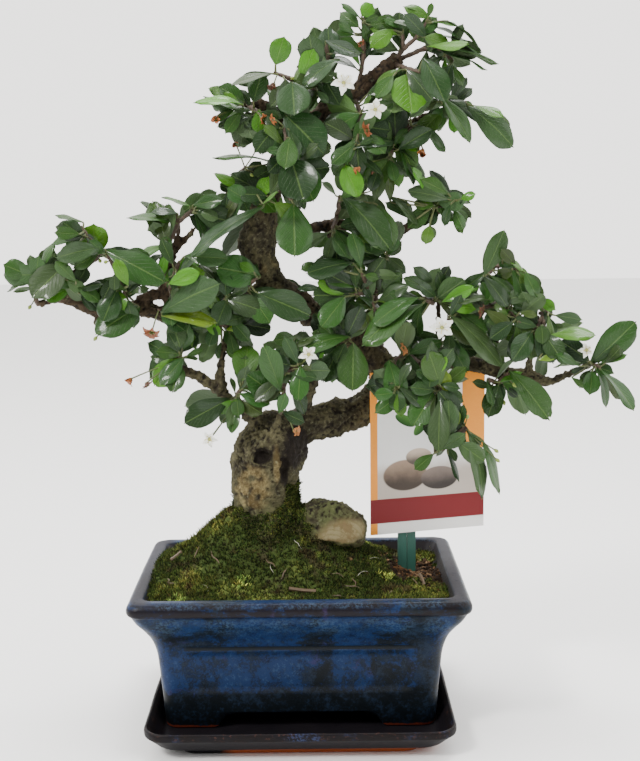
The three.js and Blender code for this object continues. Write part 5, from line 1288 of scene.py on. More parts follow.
def make_shoots(shoots, finishes):
    rng = random.Random(28)
    for name, sides in shoots:
        cluster = Cluster()
        stalks = []
        woody = []
        for side in sides:
            woody += [knobbly(stem, rng) for stem in side["stems"]]
            for leaf in side["placed"]:
                add_leaf(cluster, stalks, leaf, rng)
        add_strands(cluster, stalks, (0.07, 0.12, 0.025), 2)
        add_strands(cluster, woody, (0.05, 0.035, 0.02), 2, 1, 2)
        cluster.piece(name + "_leaves", finishes, [name])


# Trunk and limbs: the part's own limbs, fused, hollowed and given bark
def limb_strand(limb):
    return [(seen(x, z, y), radius) for x, z, y, radius in limb]


# Hollows of the old bole: middle and half sizes
HOLLOWS = [
    (seen(-23, 162, -25), (6.8, 12, 5.6)),
    (seen(-2, 166, -26), (8.6, 7, 15)),
    (seen(-10, 152, -25), (3.4, 10, 11)),
]
BARK_GRAIN = 1.08


def remeshed(mesh, grain):
    """One skin round everything in the mesh"""
    def fuse_it(holder):
        fuse = holder.modifiers.new("fuse", "REMESH")
        fuse.mode = "VOXEL"
        fuse.voxel_size = grain

    fused = evaluated_mesh("remesh", mesh, fuse_it)
    bpy.data.meshes.remove(mesh)
    return fused


def hollow_out(point):
    """A point of the bole inside a hollow moves back to the hollow's far wall"""
    ragged = noise.noise_vector(point / 6) * 2.6
    for centre, (half_x, half_y, half_z) in HOLLOWS:
        x = (point.x + ragged.x - centre.x) / half_x
        z = (point.z + ragged.z - centre.z) / half_z
        left = 1 - x * x - z * z
        if left > 0 and abs(point.y - centre.y) < half_y * 1.2:
            point = Vector((point.x, max(point.y, centre.y + half_y * left ** 0.35), point.z))
    return point


def limb_tree(strands):
    samples = []
    for strand in strands:
        for (start, r0), (end, r1) in zip(strand, strand[1:]):
            steps = max(1, int((end - start).length / 3))
            for i in range(steps + 1):
                part = i / steps
                way = (end - start).normalized()
                samples.append((start.lerp(end, part), r0 + (r1 - r0) * part, way))
    return tree_of([sample[0] for sample in samples]), samples


def bark_height(point, way, radius):
    """Rough old bark: long broken ridges, cracks and crumbs; about -1 to 1"""
    size = 2.4 + 0.24 * min(radius, 22)
    drawn = (point - way * point.dot(way) * 0.62) / size
    drawn += noise.noise_vector(point / 7) * 0.8 + noise.noise_vector(point / 2.6) * 0.25
    near, second = noise.voronoi(drawn)[0][:2]
    crack = smooth(0.0, 0.4, second - near)
    crumbs = noise.fractal(point / 2.1, 0.8, 2.0, 4)
    ridges = noise.ridged_multi_fractal(drawn * 0.9, 0.8, 2.2, 4, 1.0, 2.0) - 1.15
    return 0.45 * crack - 0.3 + 0.75 * crumbs + 0.5 * ridges


# Patches of the bole: middle, half sizes and strength
TAN_PATCH = (Vector((-30, -22, 146)), Vector((13, 26, 16)), 1.05)
CUT_FACE = (Vector((30, -20, 112)), Vector((20, 26, 14)), 1.3)
GREEN_TOP = (Vector((14, -14, 133)), Vector((14, 18, 9)), 1.2)
LEADER_PATCH = (Vector((-16, -8, 268)), Vector((8, 10, 24)), 0.75)
RIDGE = (Vector((-13.2, -26, 161)), Vector((2.4, 12, 17)), 1.2)
# The sawn face of the root lump: a point on it and the way it looks
SAWN_POINT = seen(24, 120, -15.5)
SAWN_WAY = Vector((0.12, -0.92, 0.36)).normalized()


def patch_share(point, middle, halves, strength):
    away = Vector((point[i] - middle[i]) / halves[i] for i in range(3)).length
    return strength * smooth(1.15, 0.6, away)


def hollow_share(point):
    share = 0
    for centre, halves in HOLLOWS:
        away = math.hypot((point.x - centre.x) / halves[0], (point.z - centre.z) / halves[2])
        if point.y < 4:
            share = max(share, smooth(1.08, 0.7, away))
    return share


def saw_off(point):
    """The root lump is sawn flat in front"""
    beyond = (point - SAWN_POINT).dot(SAWN_WAY)
    if 2 < point.x < 60 and point.z < 136 and beyond > 0:
        return point - SAWN_WAY * beyond
    return point


def mossy_up_to(point):
    """Height that the moss has climbed to on the foot of the bole"""
    bole = smooth(6, -4, point.x) * smooth(-56, -44, point.x)
    root = math.exp(-((point.x + 2) / 11) ** 2)
    ragged = 4 * noise.noise(point / 5) + 6 * noise.noise(point / 11)
    return mound_z(*point.xy) + 1 + 10 * bole + 12 * root + ragged


def soften(bm, factor):
    bmesh.ops.smooth_vert(bm, verts=bm.verts[:], factor=factor,
                          use_axis_x=True, use_axis_y=True, use_axis_z=True)


def make_trunk(finishes):
    """The bark; gives back the spots of it that moss has climbed to, with the way that they face"""
    strands = [limb_strand(limb) for limb in (BOLE, ROOT_LUMP, LEADER, *LIMBS)]
    mesh = remeshed(strands_mesh(strands, 5, 6), 1.6)
    for vertex in mesh.vertices:
        vertex.co = saw_off(hollow_out(vertex.co))
    mesh = remeshed(mesh, BARK_GRAIN)
    bm = bmesh.new()
    bm.from_mesh(mesh)
    bpy.data.meshes.remove(mesh)
    soften(bm, 0.5)
    bm.normal_update()
    tree, samples = limb_tree(strands)
    shade_and_wear = bm.verts.layers.float_color.new("shade_and_wear")
    moves = []
    for vertex in bm.verts:
        radius, way = samples[tree.find(vertex.co)[1]][1:]
        height = bark_height(vertex.co, way, radius)
        rough = min(1, radius / 11)
        lumps = noise.noise(vertex.co / 13) * 2.4 + noise.noise(vertex.co / 5.5) * 1.3
        tan = patch_share(vertex.co, *TAN_PATCH)
        sawn = patch_share(vertex.co, *CUT_FACE) * (1 if vertex.normal.dot(SAWN_WAY) > 0.7 else 0.1)
        tan_broken = tan * smooth(-0.2, 0.35, noise.fractal(vertex.co / 6, 0.9, 2, 3) + 0.25 * tan)
        deep = hollow_share(vertex.co)
        ridge_share = patch_share(vertex.co, *RIDGE)
        calm = (1 - 0.55 * tan_broken) * (1 - 0.92 * min(1, sawn)) * (1 - 0.15 * deep)
        push = (0.5 + 0.85 * rough) * height * calm + lumps * rough * (1 - 0.9 * min(1, sawn))
        push += (1 - rough) * 1.3 * smooth(0.05, 0.5, noise.noise(vertex.co / 2.3))
        moves.append(vertex.normal * (push + 1.3 * ridge_share))
        algae = smooth(146, 116, vertex.co.z) * 0.8 + patch_share(vertex.co, *GREEN_TOP)
        leader = patch_share(vertex.co, *LEADER_PATCH) * smooth(-0.2, 0.4, noise.noise(vertex.co / 6))
        pale = min(1, tan_broken + sawn + leader) + ridge_share * 0.7
        # painted shade: this red channel follows the bark's height and is cut inside the hollows, except
        # on the ridge beside them
        light = (0.5 + 0.55 * height) * (1 - 0.8 * deep * (1 - ridge_share))
        vertex[shade_and_wear] = (light, min(1, pale), min(1, algae * (1 - 0.8 * min(1, sawn))), 1)
    for vertex, move in zip(bm.verts, moves):
        vertex.co += move
    soften(bm, 0.1)
    mossy = [(vertex.co.copy(), vertex.normal.copy()) for vertex in bm.verts
             if vertex.normal.y < 0.4
             and mound_z(*vertex.co.xy) - 1 < vertex.co.z < mossy_up_to(vertex.co)]
    as_piece("trunk_bark", mesh_from(bm, "trunk_bark", MM), finishes, ["trunk"], 180)
    return mossy


# Pot and saucer: rings of points stacked by extrusion
def rounded_ring(half_x, half_y, radius, centre_y=0, step=2.4, corner_steps=8):
    """Points round a rounded rectangle, with evenly spaced points along its straight sides"""
    ring = []
    corners = [(1, -1, -0.5), (1, 1, 0), (-1, 1, 0.5), (-1, -1, 1)]
    long_count = round(2 * (POT_HALF_X - 26) / step)
    short_count = round(2 * (POT_HALF_Y - 26) / step)
    for side, (sign_x, sign_y, start) in enumerate(corners):
        for i in range(corner_steps + 1):
            angle = (start + 0.5 * i / corner_steps) * math.pi
            x = sign_x * (half_x - radius) + radius * math.cos(angle)
            y = sign_y * (half_y - radius) + radius * math.sin(angle)
            ring.append(Vector((x, y + centre_y, 0)))
        following = corners[(side + 1) % 4]
        straight = short_count if side % 2 == 0 else long_count
        end_angle = following[2] * math.pi
        end = Vector((following[0] * (half_x - radius) + radius * math.cos(end_angle),
                      following[1] * (half_y - radius) + radius * math.sin(end_angle) + centre_y, 0))
        begin = ring[-1]
        ring += [begin.lerp(end, i / straight) for i in range(1, straight)]
    return ring


def stacked(rings, name):
    """A closed shell through rings of points, from its underside round to its inner floor"""
    bm = bmesh.new()
    count = len(rings[0])
    order = bm.verts.layers.int.new("order")
    verts = bmesh.ops.create_circle(bm, cap_ends=True, segments=count, radius=1)["verts"]
    for i, (vertex, point) in enumerate(zip(verts, rings[0])):
        vertex[order] = i
        vertex.co = point
    edges = bm.edges[:]
    for ring in rings[1:]:
        made = bmesh.ops.extrude_edge_only(bm, edges=edges)["geom"]
        edges = [part for part in made if isinstance(part, bmesh.types.BMEdge)]
        for vertex in [part for part in made if isinstance(part, bmesh.types.BMVert)]:
            vertex.co = ring[vertex[order]]
    bmesh.ops.contextual_create(bm, geom=edges)
    bmesh.ops.recalc_face_normals(bm, faces=bm.faces[:])
    return mesh_from(bm, name, MM)


def spread(profile, between):
    """A smooth path through profile points, with this many steps between two of them"""
    path = []
    for i in range(len(profile) - 1):
        p0, p1, p2, p3 = (profile[max(0, min(len(profile) - 1, i + j))] for j in (-1, 0, 1, 2))
        for step in range(between):
            t = step / between
            path.append(tuple(0.5 * (2 * b + (c - a) * t + (2 * a - 5 * b + 4 * c - d) * t * t
                                     + (3 * b - a - 3 * c + d) * t ** 3)
                              for a, b, c, d in zip(p0, p1, p2, p3)))
    return path + [tuple(profile[-1])]


def arch_height(offset, half_width):
    """Underside of the wall, an arch between two feet"""
    rise = FOOT_ARCH_TOP - POT_FOOT_Z
    away = half_width - abs(offset)
    return POT_FOOT_Z + rise * (0.8 * smooth(0, 7, away) + 0.2 * smooth(5, 14, away))


def foot_height(point, half_y):
    if abs(point.y) > half_y - 9:
        return arch_height(point.x, ARCH_HALF_X)
    return arch_height(point.y, ARCH_HALF_Y)


def panel_push(x, z):
    """How far the long faces are pressed in at the framed panel and its groove"""
    panel = smooth(PANEL_HALF_X + 1.2, PANEL_HALF_X - 1.2, abs(x))
    panel *= smooth(PANEL_LOW - 1.5, PANEL_LOW + 1.5, z) * smooth(PANEL_HIGH + 0.7, PANEL_HIGH - 0.7, z)
    groove = smooth(PANEL_HALF_X + 4, PANEL_HALF_X + 2, abs(x)) * smooth(1.1, 0.4, abs(z - GROOVE_Z))
    return 0.5 * PANEL_DEPTH * panel + 0.6 * groove


# Pot underside, as inset from the rim's outline, corner radius and height
POT_UNDERSIDE = [
    (34, 4, FOOT_ARCH_TOP), (32.5, 4, FOOT_ARCH_TOP), (31.5, 4, foot_height), (20.8, 7.4, foot_height),
    (19.9, 8, lambda point, half_y: foot_height(point, half_y) + 0.8),
]
# Pot wall outside, as height, inset from the rim's outline and corner radius
WALL_START = 16
POT_WALL = [(14, 18.8, 8), (26, 18.2, 8), (36, 17.5, 8), (52, 16, 8.5), (62, 13.2, 9), (69, 9.2, 9),
            (75, 4.9, 8.5), (80.6, 2, 8), (81.8, 0.7, 8), (83.4, 0, 8), (85.8, 0, 8), (87.6, 0.8, 8),
            (89.2, 2.2, 8)]
POT_LIP = [(90, 4.2, 8), (90.2, 6.6, 7.5), (89.8, 8.8, 7), (88.6, 9.8, 7)]
POT_INSIDE = [(84, 11.4, 7), (76, 15.5, 7), (60, 19, 7), (40, 23, 7), (26, 26.5, 7)]


def ring_at(inset, radius, height):
    """A ring inside the rim's outline, at one height or at the height that a rule gives each point"""
    ring = rounded_ring(POT_HALF_X - inset, POT_HALF_Y - inset, radius)
    rule = height if callable(height) else lambda point, half_y: height
    return [Vector((point.x, point.y, rule(point, POT_HALF_Y - inset))) for point in ring]


def make_pot(finishes):
    rings = [ring_at(*row) for row in POT_UNDERSIDE]
    wall = [row for row in spread(POT_WALL, 7) if row[0] > WALL_START + 0.5]
    for height, inset, radius in [(WALL_START, 18.8, 8)] + wall:
        ring = ring_at(inset, radius, height)
        for point in ring:
            waver = 0.35 * noise.noise(point / 34) + 0.12 * noise.noise(point / 9)
            outwards = Vector((point.x / POT_HALF_X, point.y / POT_HALF_Y, 0)).normalized()
            point += outwards * waver
            if abs(point.y) > POT_HALF_Y - inset - 3:
                point.y -= math.copysign(panel_push(point.x, point.z), point.y)
        rings.append(ring)
    for height, inset, radius in spread(POT_LIP, 3) + spread(POT_INSIDE, 2):
        rings.append(ring_at(inset, radius, height))
    mesh = stacked(rings, "pot_glazed")
    as_piece("pot_glazed", mesh, finishes, ["pot"], 60)


# Saucer outside and inside, as height, half width, corner radius and how much narrower along Y
SAUCER_WALL = [(0, 71, 11, 6), (0.6, 71.9, 11, 6), (2.4, 72.3, 11, 6.4), (2.8, 76, 11.5, 9),
               (3.5, 81.5, 12, 12.8), (5.6, 85, 12.5, 13), (9, 87.9, 12.8, 13), (12, 90.6, 13, 13),
               (13.2, 91.7, 13.5, 13), (15, 92, 14, 13), (16.8, 91.9, 14, 13), (17.5, 91.2, 13.8, 13)]
SAUCER_INNER = [(17.3, 90.4, 13, 13), (16, 89.2, 12.6, 13), (14, 87.6, 11.5, 13), (10, 85.2, 11, 13),
                (7, 83.4, 10.5, 13), (5.8, 81.6, 10, 13), (5.5, 79, 9, 13)]


def make_saucer(finishes):
    rings = []
    for height, half_x, radius, narrower in spread(SAUCER_WALL, 3) + spread(SAUCER_INNER, 3):
        ring = rounded_ring(half_x, half_x - narrower, radius, SAUCER_Y)
        for point in ring:
            point.z = height
            if height > 3:
                point += Vector((0.22 * noise.noise(point / 30), 0.22 * noise.noise(point / 26), 0))
        rings.append(ring)
    as_piece("saucer_glazed", stacked(rings, "saucer_glazed"), finishes, ["saucer"], 60)


# Soil and moss
MOSS_INSET = 14.2
TUFT_BEDS = 2
TUFT_COUNT = 9000
CLIMBING_TUFTS = 2400
NEEDLES = 4
# Where the moss grows taller and yellower: place and half sizes
TALL_MOSS = [(-58, 6, 26, 22), (-70, -45, 22, 12), (66, -50, 20, 14), (0, 30, 40, 18)]
# Pale tufts of lichen: place and half width
LICHEN = [(-36, -47, 2.6), (55, -28, 2.8), (45, 47, 1.6), (-71, -57, 2.2), (93, 61, 2.4)]
LICHEN_TUFTS = 26
LICHEN_LIGHT = 7
UPWARDS = Vector((0, 0, 1))


def mound_z(x, y):
    across_x = (x - MOUND["x"]) / (MOUND["left"] if x < MOUND["x"] else MOUND["right"])
    across_y = (y - MOUND["y"]) / (MOUND["front"] if y < MOUND["y"] else MOUND["back"])
    dip_x = (x - DIP["x"]) / DIP["wide"]
    dip_y = (y - DIP["y"]) / DIP["deep"]
    dip = DIP["depth"] * math.exp(-dip_x ** 2 - dip_y ** 2)
    return MOUND["level"] + MOUND["rise"] * math.exp(-across_x ** 2 - across_y ** 2) - dip


def inside_rim(x, y, inset, radius=7):
    """How far a point lies inside the pot's inner outline"""
    half_x = POT_HALF_X - inset - radius
    half_y = POT_HALF_Y - inset - radius
    return radius - math.hypot(max(0, abs(x) - half_x), max(0, abs(y) - half_y))


def bare_share(x, y):
    """Where the soil shows: round the stake and at the right edge"""
    spot = math.exp(-((x - 73) / 27) ** 2 - ((y - 12) / 42) ** 2)
    return smooth(0.42, 0.62, spot + 0.35 * noise.noise(Vector((x, y, 0)) / 11))


def ground_mesh(inset, level, bumps, step, name):
    """A thick sheet over the soil, cut to the inside of the pot"""
    bm = bmesh.new()
    columns = round(2 * POT_HALF_X / step)
    rows = round(2 * POT_HALF_Y / step)
    bmesh.ops.create_grid(bm, x_segments=columns, y_segments=rows, size=1)
    bmesh.ops.scale(bm, vec=(POT_HALF_X, POT_HALF_Y, 1), verts=bm.verts[:])
    outside = [face for face in bm.faces
               if inside_rim(*face.calc_center_median().xy, inset) < 0]
    bmesh.ops.delete(bm, geom=outside, context="FACES")
    for vertex in bm.verts:
        x, y = vertex.co.xy
        vertex.co.z = mound_z(x, y) + level + bumps(x, y)
    bm.normal_update()
    base = bmesh.ops.extrude_face_region(bm, geom=bm.faces[:])["geom"]
    lifted = [part for part in base if isinstance(part, bmesh.types.BMVert)]
    kept = set(lifted)
    for vertex in bm.verts:
        if vertex not in kept:
            vertex.co.z -= 3
    bmesh.ops.recalc_face_normals(bm, faces=bm.faces[:])
    tint = bm.verts.layers.float_color.new("tint")
    for vertex in bm.verts:
        vertex[tint] = (1, 1, 1, 1)
    return mesh_from(bm, name, MM)


def moss_bump(x, y):
    place = Vector((x, y, 0))
    return (1.5 * noise.fractal(place / 13, 0.8, 2, 3) + 0.9 * noise.noise(place / 3.2)
            - 5 * bare_share(x, y) + 1.5 * moss_light(x, y) + foot_swell(x, y))


def foot_swell(x, y):
    """The mat climbs towards the tree on its left"""
    return 7 * math.exp(-((x + 46) / 17) ** 2 - ((y + 6) / 24) ** 2)


def moss_light(x, y):
    share = max(math.exp(-((x - sx) / wide) ** 2 - ((y - sy) / deep) ** 2)
                for sx, sy, wide, deep in TALL_MOSS)
    return smooth(0.25, 0.8, share + 0.5 * noise.noise(Vector((x, y, 3)) / 9))


def soil_bump(x, y):
    place = Vector((x, y, 7))
    return 0.8 * noise.fractal(place / 5, 0.7, 2, 4)


def needle_shape():
    """A moss shoot: a closed three-sided spike, one unit tall"""
    bm = bmesh.new()
    bmesh.ops.create_cone(bm, cap_ends=True, segments=3, radius1=1, radius2=0, depth=1,
                          matrix=Matrix.Translation((0, 0, 0.5)))
    bmesh.ops.remove_doubles(bm, verts=bm.verts[:], dist=0.0001)
    return Shape(mesh_from(bm, "needle"))


def add_tuft(cluster, needle, foot, up, height, light, rng):
    """A few shoots that lean apart, each in its own tone, with painted shade that darkens each shoot's
    foot
    """
    warm = rng.uniform(0.75, 1.3) * (1 + 0.35 * min(light, 0.4))
    for _ in range(NEEDLES):
        lean = up + Vector((rng.gauss(0, 0.55), rng.gauss(0, 0.55), 0))
        lean = lean.normalized().to_track_quat("Z", "X")
        width = rng.uniform(0.28, 0.52)
        tall = height * rng.uniform(0.6, 1.1)
        place = foot + Vector((rng.gauss(0, 0.6), rng.gauss(0, 0.6), 0))
        shade = rng.choice((0.3, 0.65, 1.1, 1.8, 2.7)) * (0.88 + 0.62 * light)
        points = [place + lean @ Vector((p.x * width, p.y * width, p.z * tall)) for p in needle.points]
        # painted shade: the foot of each shoot is darkened to 0.15 of its tint
        cluster.add(needle, points, (shade * warm, shade, shade * 0.9), 0, 0.15)


def make_moss(finishes, mossy):
    mesh = ground_mesh(MOSS_INSET - 3.4, -0.9, moss_bump, 2.2, "moss_bed")
    as_piece("moss_bed", mesh, finishes, ["moss"], 180)
    rng = random.Random(71)
    needle = needle_shape()
    for bed in range(TUFT_BEDS):
        cluster = Cluster()
        while len(cluster.points) < TUFT_COUNT * NEEDLES * len(needle.points):
            x = rng.uniform(-POT_HALF_X, POT_HALF_X)
            y = rng.uniform(-POT_HALF_Y, POT_HALF_Y)
            if inside_rim(x, y, MOSS_INSET - 4) < 0 or rng.random() < bare_share(x, y) * 0.97:
                continue
            foot = Vector((x, y, mound_z(x, y) - 1.4 + moss_bump(x, y)))
            light = moss_light(x, y)
            add_tuft(cluster, needle, foot, UPWARDS, rng.uniform(1.9, 3.4) + 1.2 * light, light, rng)
        cluster.piece(f"moss_tufts_{bed + 1}", finishes)
    cluster = Cluster()
    for x, y, wide in LICHEN:
        for _ in range(LICHEN_TUFTS):
            place = Vector((x + rng.gauss(0, wide), y + rng.gauss(0, wide * 0.7), 0))
            place.z = mound_z(*place.xy) + moss_bump(*place.xy) + rng.uniform(-0.5, 1)
            add_tuft(cluster, needle, place, UPWARDS, rng.uniform(2.2, 3.6), LICHEN_LIGHT, rng)
    for co, normal in rng.sample(mossy, min(CLIMBING_TUFTS, len(mossy))):
        up = (normal + Vector((0, 0, 0.8))).normalized()
        add_tuft(cluster, needle, co - normal * 0.3, up,
                 rng.uniform(1.2, 2.8), rng.uniform(-0.3, 0.2), rng)
    cluster.piece("moss_on_trunk", finishes)


# Soil grains: mostly dark, with a few chips of wood and pale stone
GRAIN_TINTS = [(1, 1, 1), (0.6, 0.6, 0.6), (1.6, 1.4, 1.2), (0.8, 0.7, 0.6), (3.4, 2.6, 1.8),
               (6, 5.6, 4.6)]
GRAIN_TRIES = 2000
# The block of soil in the pot, as height, inset from the rim's outline and corner radius
SOIL_BODY = [(27, 28, 7), (40, 24.5, 7), (60, 20.5, 7), (67, 19, 7)]


def make_soil(finishes):
    mesh = ground_mesh(MOSS_INSET - 3.4, -2.4, soil_bump, 2.2, "soil_top")
    as_piece("soil_top", mesh, finishes, ["soil"])
    rings = [ring_at(inset, radius, height) for height, inset, radius in SOIL_BODY]
    as_piece("soil_body", stacked(rings, "soil_body"), finishes, ["soil"])
    rng = random.Random(19)
    bm = bmesh.new()
    bmesh.ops.create_icosphere(bm, subdivisions=1, radius=1)
    grain = Shape(mesh_from(bm, "grain"))
    cluster = Cluster()
    for _ in range(GRAIN_TRIES):
        x = rng.gauss(69, 19)
        y = rng.gauss(14, 32)
        if inside_rim(x, y, MOSS_INSET - 2) < 0:
            continue
        size = rng.choice([0.4, 0.5, 0.7, 0.9, 1.3, 1.9])
        sides = [size * rng.uniform(0.6, 1.3) for _ in range(3)]
        axis = Vector((rng.gauss(0, 1), rng.gauss(0, 1), 1)).normalized()
        spin = Quaternion(axis, rng.uniform(0, 6)).to_matrix()
        middle = Vector((x, y, mound_z(x, y) - 2.1 + soil_bump(x, y)))
        points = [spin @ Vector((p.x * sides[0], p.y * sides[1], p.z * sides[2] * 0.7)) + middle
                  for p in grain.points]
        cluster.add(grain, points, rng.choice(GRAIN_TINTS))
    cluster.piece("soil_grains", finishes)


# Open flowers: reading, depth and size
FLOWERS = [
    (30, 392, -38, 14), (49, 376, -38, 13), (7, 227, -48, 11),
    (90, 243, -34, 14), (-56, 174, -34, 9), (180, 228, -24, 9),
]
FLOWER_TUBE = 4.5
# Spent flowers: reading and size
SPENT = [
    (-47, 373, 3.2), (-20, 371, 2.6), (-12, 371, 2.6), (-12, 392, 2.8), (40, 416, 2.6), (45, 364, 3),
    (36, 341, 3), (47, 339, 2.8), (78, 352, 3), (77, 348, 2.6), (-36, 357, 2.6), (-90, 243, 4.4),
    (-38, 260, 4.4), (-104, 213, 3), (-95, 210, 3), (-3, 179, 3), (113, 253, 3), (65, 230, 3),
]
# Buds: reading
BUDS = [
    (-121, 287), (-117, 286), (-165, 259), (-125, 239), (-24, 352), (-27, 338), (46, 345), (135, 207),
    (129, 196), (7, 401), (-1, 395), (124, 165), (125, 159), (106, 186),
]
PETAL_SHAPE = blade_shape(4, 5)


def add_petals(cluster, centre, facing, size, rng, count, spread_share, material, tint):
    """A ring of pointed petals that open from the centre towards where the flower faces"""
    facing = facing.normalized()
    first = facing.orthogonal().normalized()
    start = rng.uniform(0, 6.28)
    for i in range(count):
        angle = start + 2 * math.pi * i / count + rng.uniform(-0.12, 0.12)
        out = first * math.cos(angle) + facing.cross(first) * math.sin(angle)
        side = facing.cross(out)
        open_share = spread_share * rng.uniform(0.85, 1.15)
        length = size / 2 * rng.uniform(0.9, 1.08)
        points = []
        for across, part, face in PETAL_SHAPE.points:
            half = length * 0.31 * (0.25 + 0.75 * math.sin(math.pi * min(1, 0.22 + 0.66 * part)))
            half *= 1 - 0.7 * max(0, part - 0.6) / 0.4
            rise = length * (0.34 * math.sin(math.pi / 2 * part) - 0.42 * part ** 3 * open_share)
            cup = 0.16 * half * across * across
            points.append(centre + out * (0.08 + part * open_share) * length + side * across * half
                          + facing * (rise * (1.35 - 0.35 * open_share) + cup + 0.13 * face
                                      + (1 - open_share) * part * length))
        cluster.add(PETAL_SHAPE, points, tint, material)


def flower_facing(rng):
    return Vector((rng.uniform(-0.25, 0.25), -1, rng.uniform(0.0, 0.4)))


def make_flowers(finishes):
    rng = random.Random(6)
    for i, (x, z, y, size) in enumerate(FLOWERS):
        cluster = Cluster()
        centre = seen(x, z, y)
        facing = flower_facing(rng)
        way = facing.normalized()
        add_petals(cluster, centre - way * 0.6, facing, size, rng, 5, 1, 0, (1, 1, 1))
        hairs = []
        for k in range(5):
            angle = 2 * math.pi * (k + 0.5) / 5
            out = way.orthogonal() * math.cos(angle) + way.cross(way.orthogonal()) * math.sin(angle)
            tip = centre + way * size * 0.2 + out * size * 0.17
            bend = centre + way * size * 0.13 + out * size * 0.05
            hairs.append([(centre, 0.2), (bend, 0.16), (tip, 0.16)])
            hairs.append([(tip, 0.34), (tip + way * 0.7, 0.36)])
        add_strands(cluster, hairs, (0.75, 0.62, 0.25), 1)
        heart = [[(centre - way * 0.4, 0.9), (centre + way * 0.6, 0.8), (centre + way * 1.3, 0.3)]]
        add_strands(cluster, heart, (0.55, 0.6, 0.2), 1)
        behind = seen(x, z, y + FLOWER_TUBE)
        tube = [[(behind, 0.8), (centre.lerp(behind, 0.4), 1.1), (centre, 1.3)]]
        add_strands(cluster, tube, (0.22, 0.32, 0.06), 1)
        cluster.piece(f"flower_{i + 1}_petals", finishes, [f"flower_{i + 1}"])


# Browns that the spent flowers fade through
WITHERED = [(0.40, 0.12, 0.03), (0.26, 0.075, 0.024), (0.14, 0.05, 0.025), (0.50, 0.19, 0.05)]


def make_small_blooms(shoots, finishes):
    """Spent brown flowers and green buds, each on a stalk from the nearest twig"""
    rng = random.Random(44)
    cluster = Cluster()
    stalks = []
    for x, z, y, size in FLOWERS:
        root = seen(*nearest_side(shoots, x, z)[1])
        foot = seen(x, z, y + FLOWER_TUBE)
        stalks.append([(root, 0.45), (root.lerp(foot, 0.5) + Vector((0, 1, -1.5)), 0.4),
                       (foot, 0.6)])
    for x, z, size in SPENT:
        spot = nearest_side(shoots, x, z)[1]
        place = seen(x, z, spot[2] - 5)
        root = seen(*spot)
        facing = Vector((rng.uniform(-0.9, 0.9), -0.35, rng.uniform(-1.2, 0.3)))
        way = facing.normalized()
        tint = rng.choice(WITHERED)
        add_petals(cluster, place, facing, size * rng.uniform(2.8, 3.9), rng, rng.choice((4, 5, 6)),
                   rng.uniform(0.4, 0.9), 0, tint)
        add_petals(cluster, place - way * 0.5, facing, size * 1.5, rng, 4, 0.5, 0, (0.16, 0.20, 0.05))
        stalks.append([(root, 0.42), (root.lerp(place, 0.5) + Vector((0, -0.6, 1)), 0.4), (place, 0.5)])
        stalks.append([(place - way * 0.4, 0.5), (place + way * size * 0.35, 0.75),
                       (place + way * size * 0.7, 0.35)])
    buds = []
    for x, z in BUDS:
        spot = nearest_side(shoots, x, z)[1]
        place = seen(x, z, spot[2] - 4)
        root = seen(*spot)
        stalks.append([(root, 0.4), (root.lerp(place, 0.6) + Vector((0, 0, -0.8)), 0.36), (place, 0.4)])
        way = (place - root).normalized()
        buds.append([(place - way * 0.8, 0.5), (place + way * 0.5, 1.35), (place + way * 1.7, 0.9),
                     (place + way * 2.4, 0.25)])
    add_strands(cluster, stalks, (0.10, 0.13, 0.03), 1)
    add_strands(cluster, buds, (0.26, 0.34, 0.06), 1, 2, 4)
    cluster.piece("small_blooms", finishes)


# Small things that lie on the moss; strips of bark as place, direction and half length
LITTER_TRIES = 34
BARK_CHIPS = [(2, -53, 0.06, 8), (62, 2, 1.2, 4), (76, -20, 2.0, 3), (-78, -8, 0.7, 4)]


def make_litter(finishes):
    rng = random.Random(12)
    cluster = Cluster()
    threads = []
    chips = []
    for _ in range(LITTER_TRIES):
        x = rng.uniform(-82, 82)
        y = rng.uniform(-60, 40)
        if inside_rim(x, y, MOSS_INSET) < 2:
            continue
        turn = rng.uniform(0, 6.28)
        length = rng.uniform(4, 13)
        points = []
        for i in range(5):
            px = x + math.cos(turn) * length * (i / 4 - 0.5) + rng.gauss(0, 0.4)
            py = y + math.sin(turn) * length * (i / 4 - 0.5) + rng.gauss(0, 0.4)
            pz = mound_z(px, py) + moss_bump(px, py) + 0.5 * math.sin(i)
            points.append((Vector((px, py, pz)), 0.16 if i in (1, 2, 3) else 0.1))
        (threads if rng.random() < 0.35 else chips).append(points)
    for x, y, turn, length in BARK_CHIPS:
        chip = []
        for side in (-length, 0, length):
            px = x + side * math.cos(turn)
            py = y + side * math.sin(turn)
            chip.append((Vector((px, py, mound_z(px, py) + moss_bump(px, py) + 1.2)), 0.45))
        chips.append(chip)
    add_strands(cluster, threads, (0.62, 0.6, 0.52), 0)
    add_strands(cluster, [[(place, radius * 2.6) for place, radius in chip] for chip in chips],
                (0.13, 0.085, 0.05), 0)
    cluster.piece("litter", finishes)


# Nodes that keep their shape take a finish
def dress(node, material):
    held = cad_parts[node]
    if held.material_slots:
        for slot in held.material_slots:
            slot.material = material
    else:
        held.data.materials.append(material)


# The finishes and the pieces
leaf_over = leaf_finish("leaf_gloss", False)
leaf_under = leaf_finish("leaf_pale_underside", True)
twig = twig_finish()
bark = bark_finish()
soil = soil_finish()
white_petal = petal_finish("white_petal", (0.88, 0.88, 0.84), (0.72, 0.74, 0.66), 0.45)
small_parts = petal_finish("flower_parts", (0.95, 0.95, 0.9), (0.6, 0.6, 0.55), 0.5)
moss = moss_finish()
pot_blue = pot_glaze()
saucer_dark = saucer_glaze()

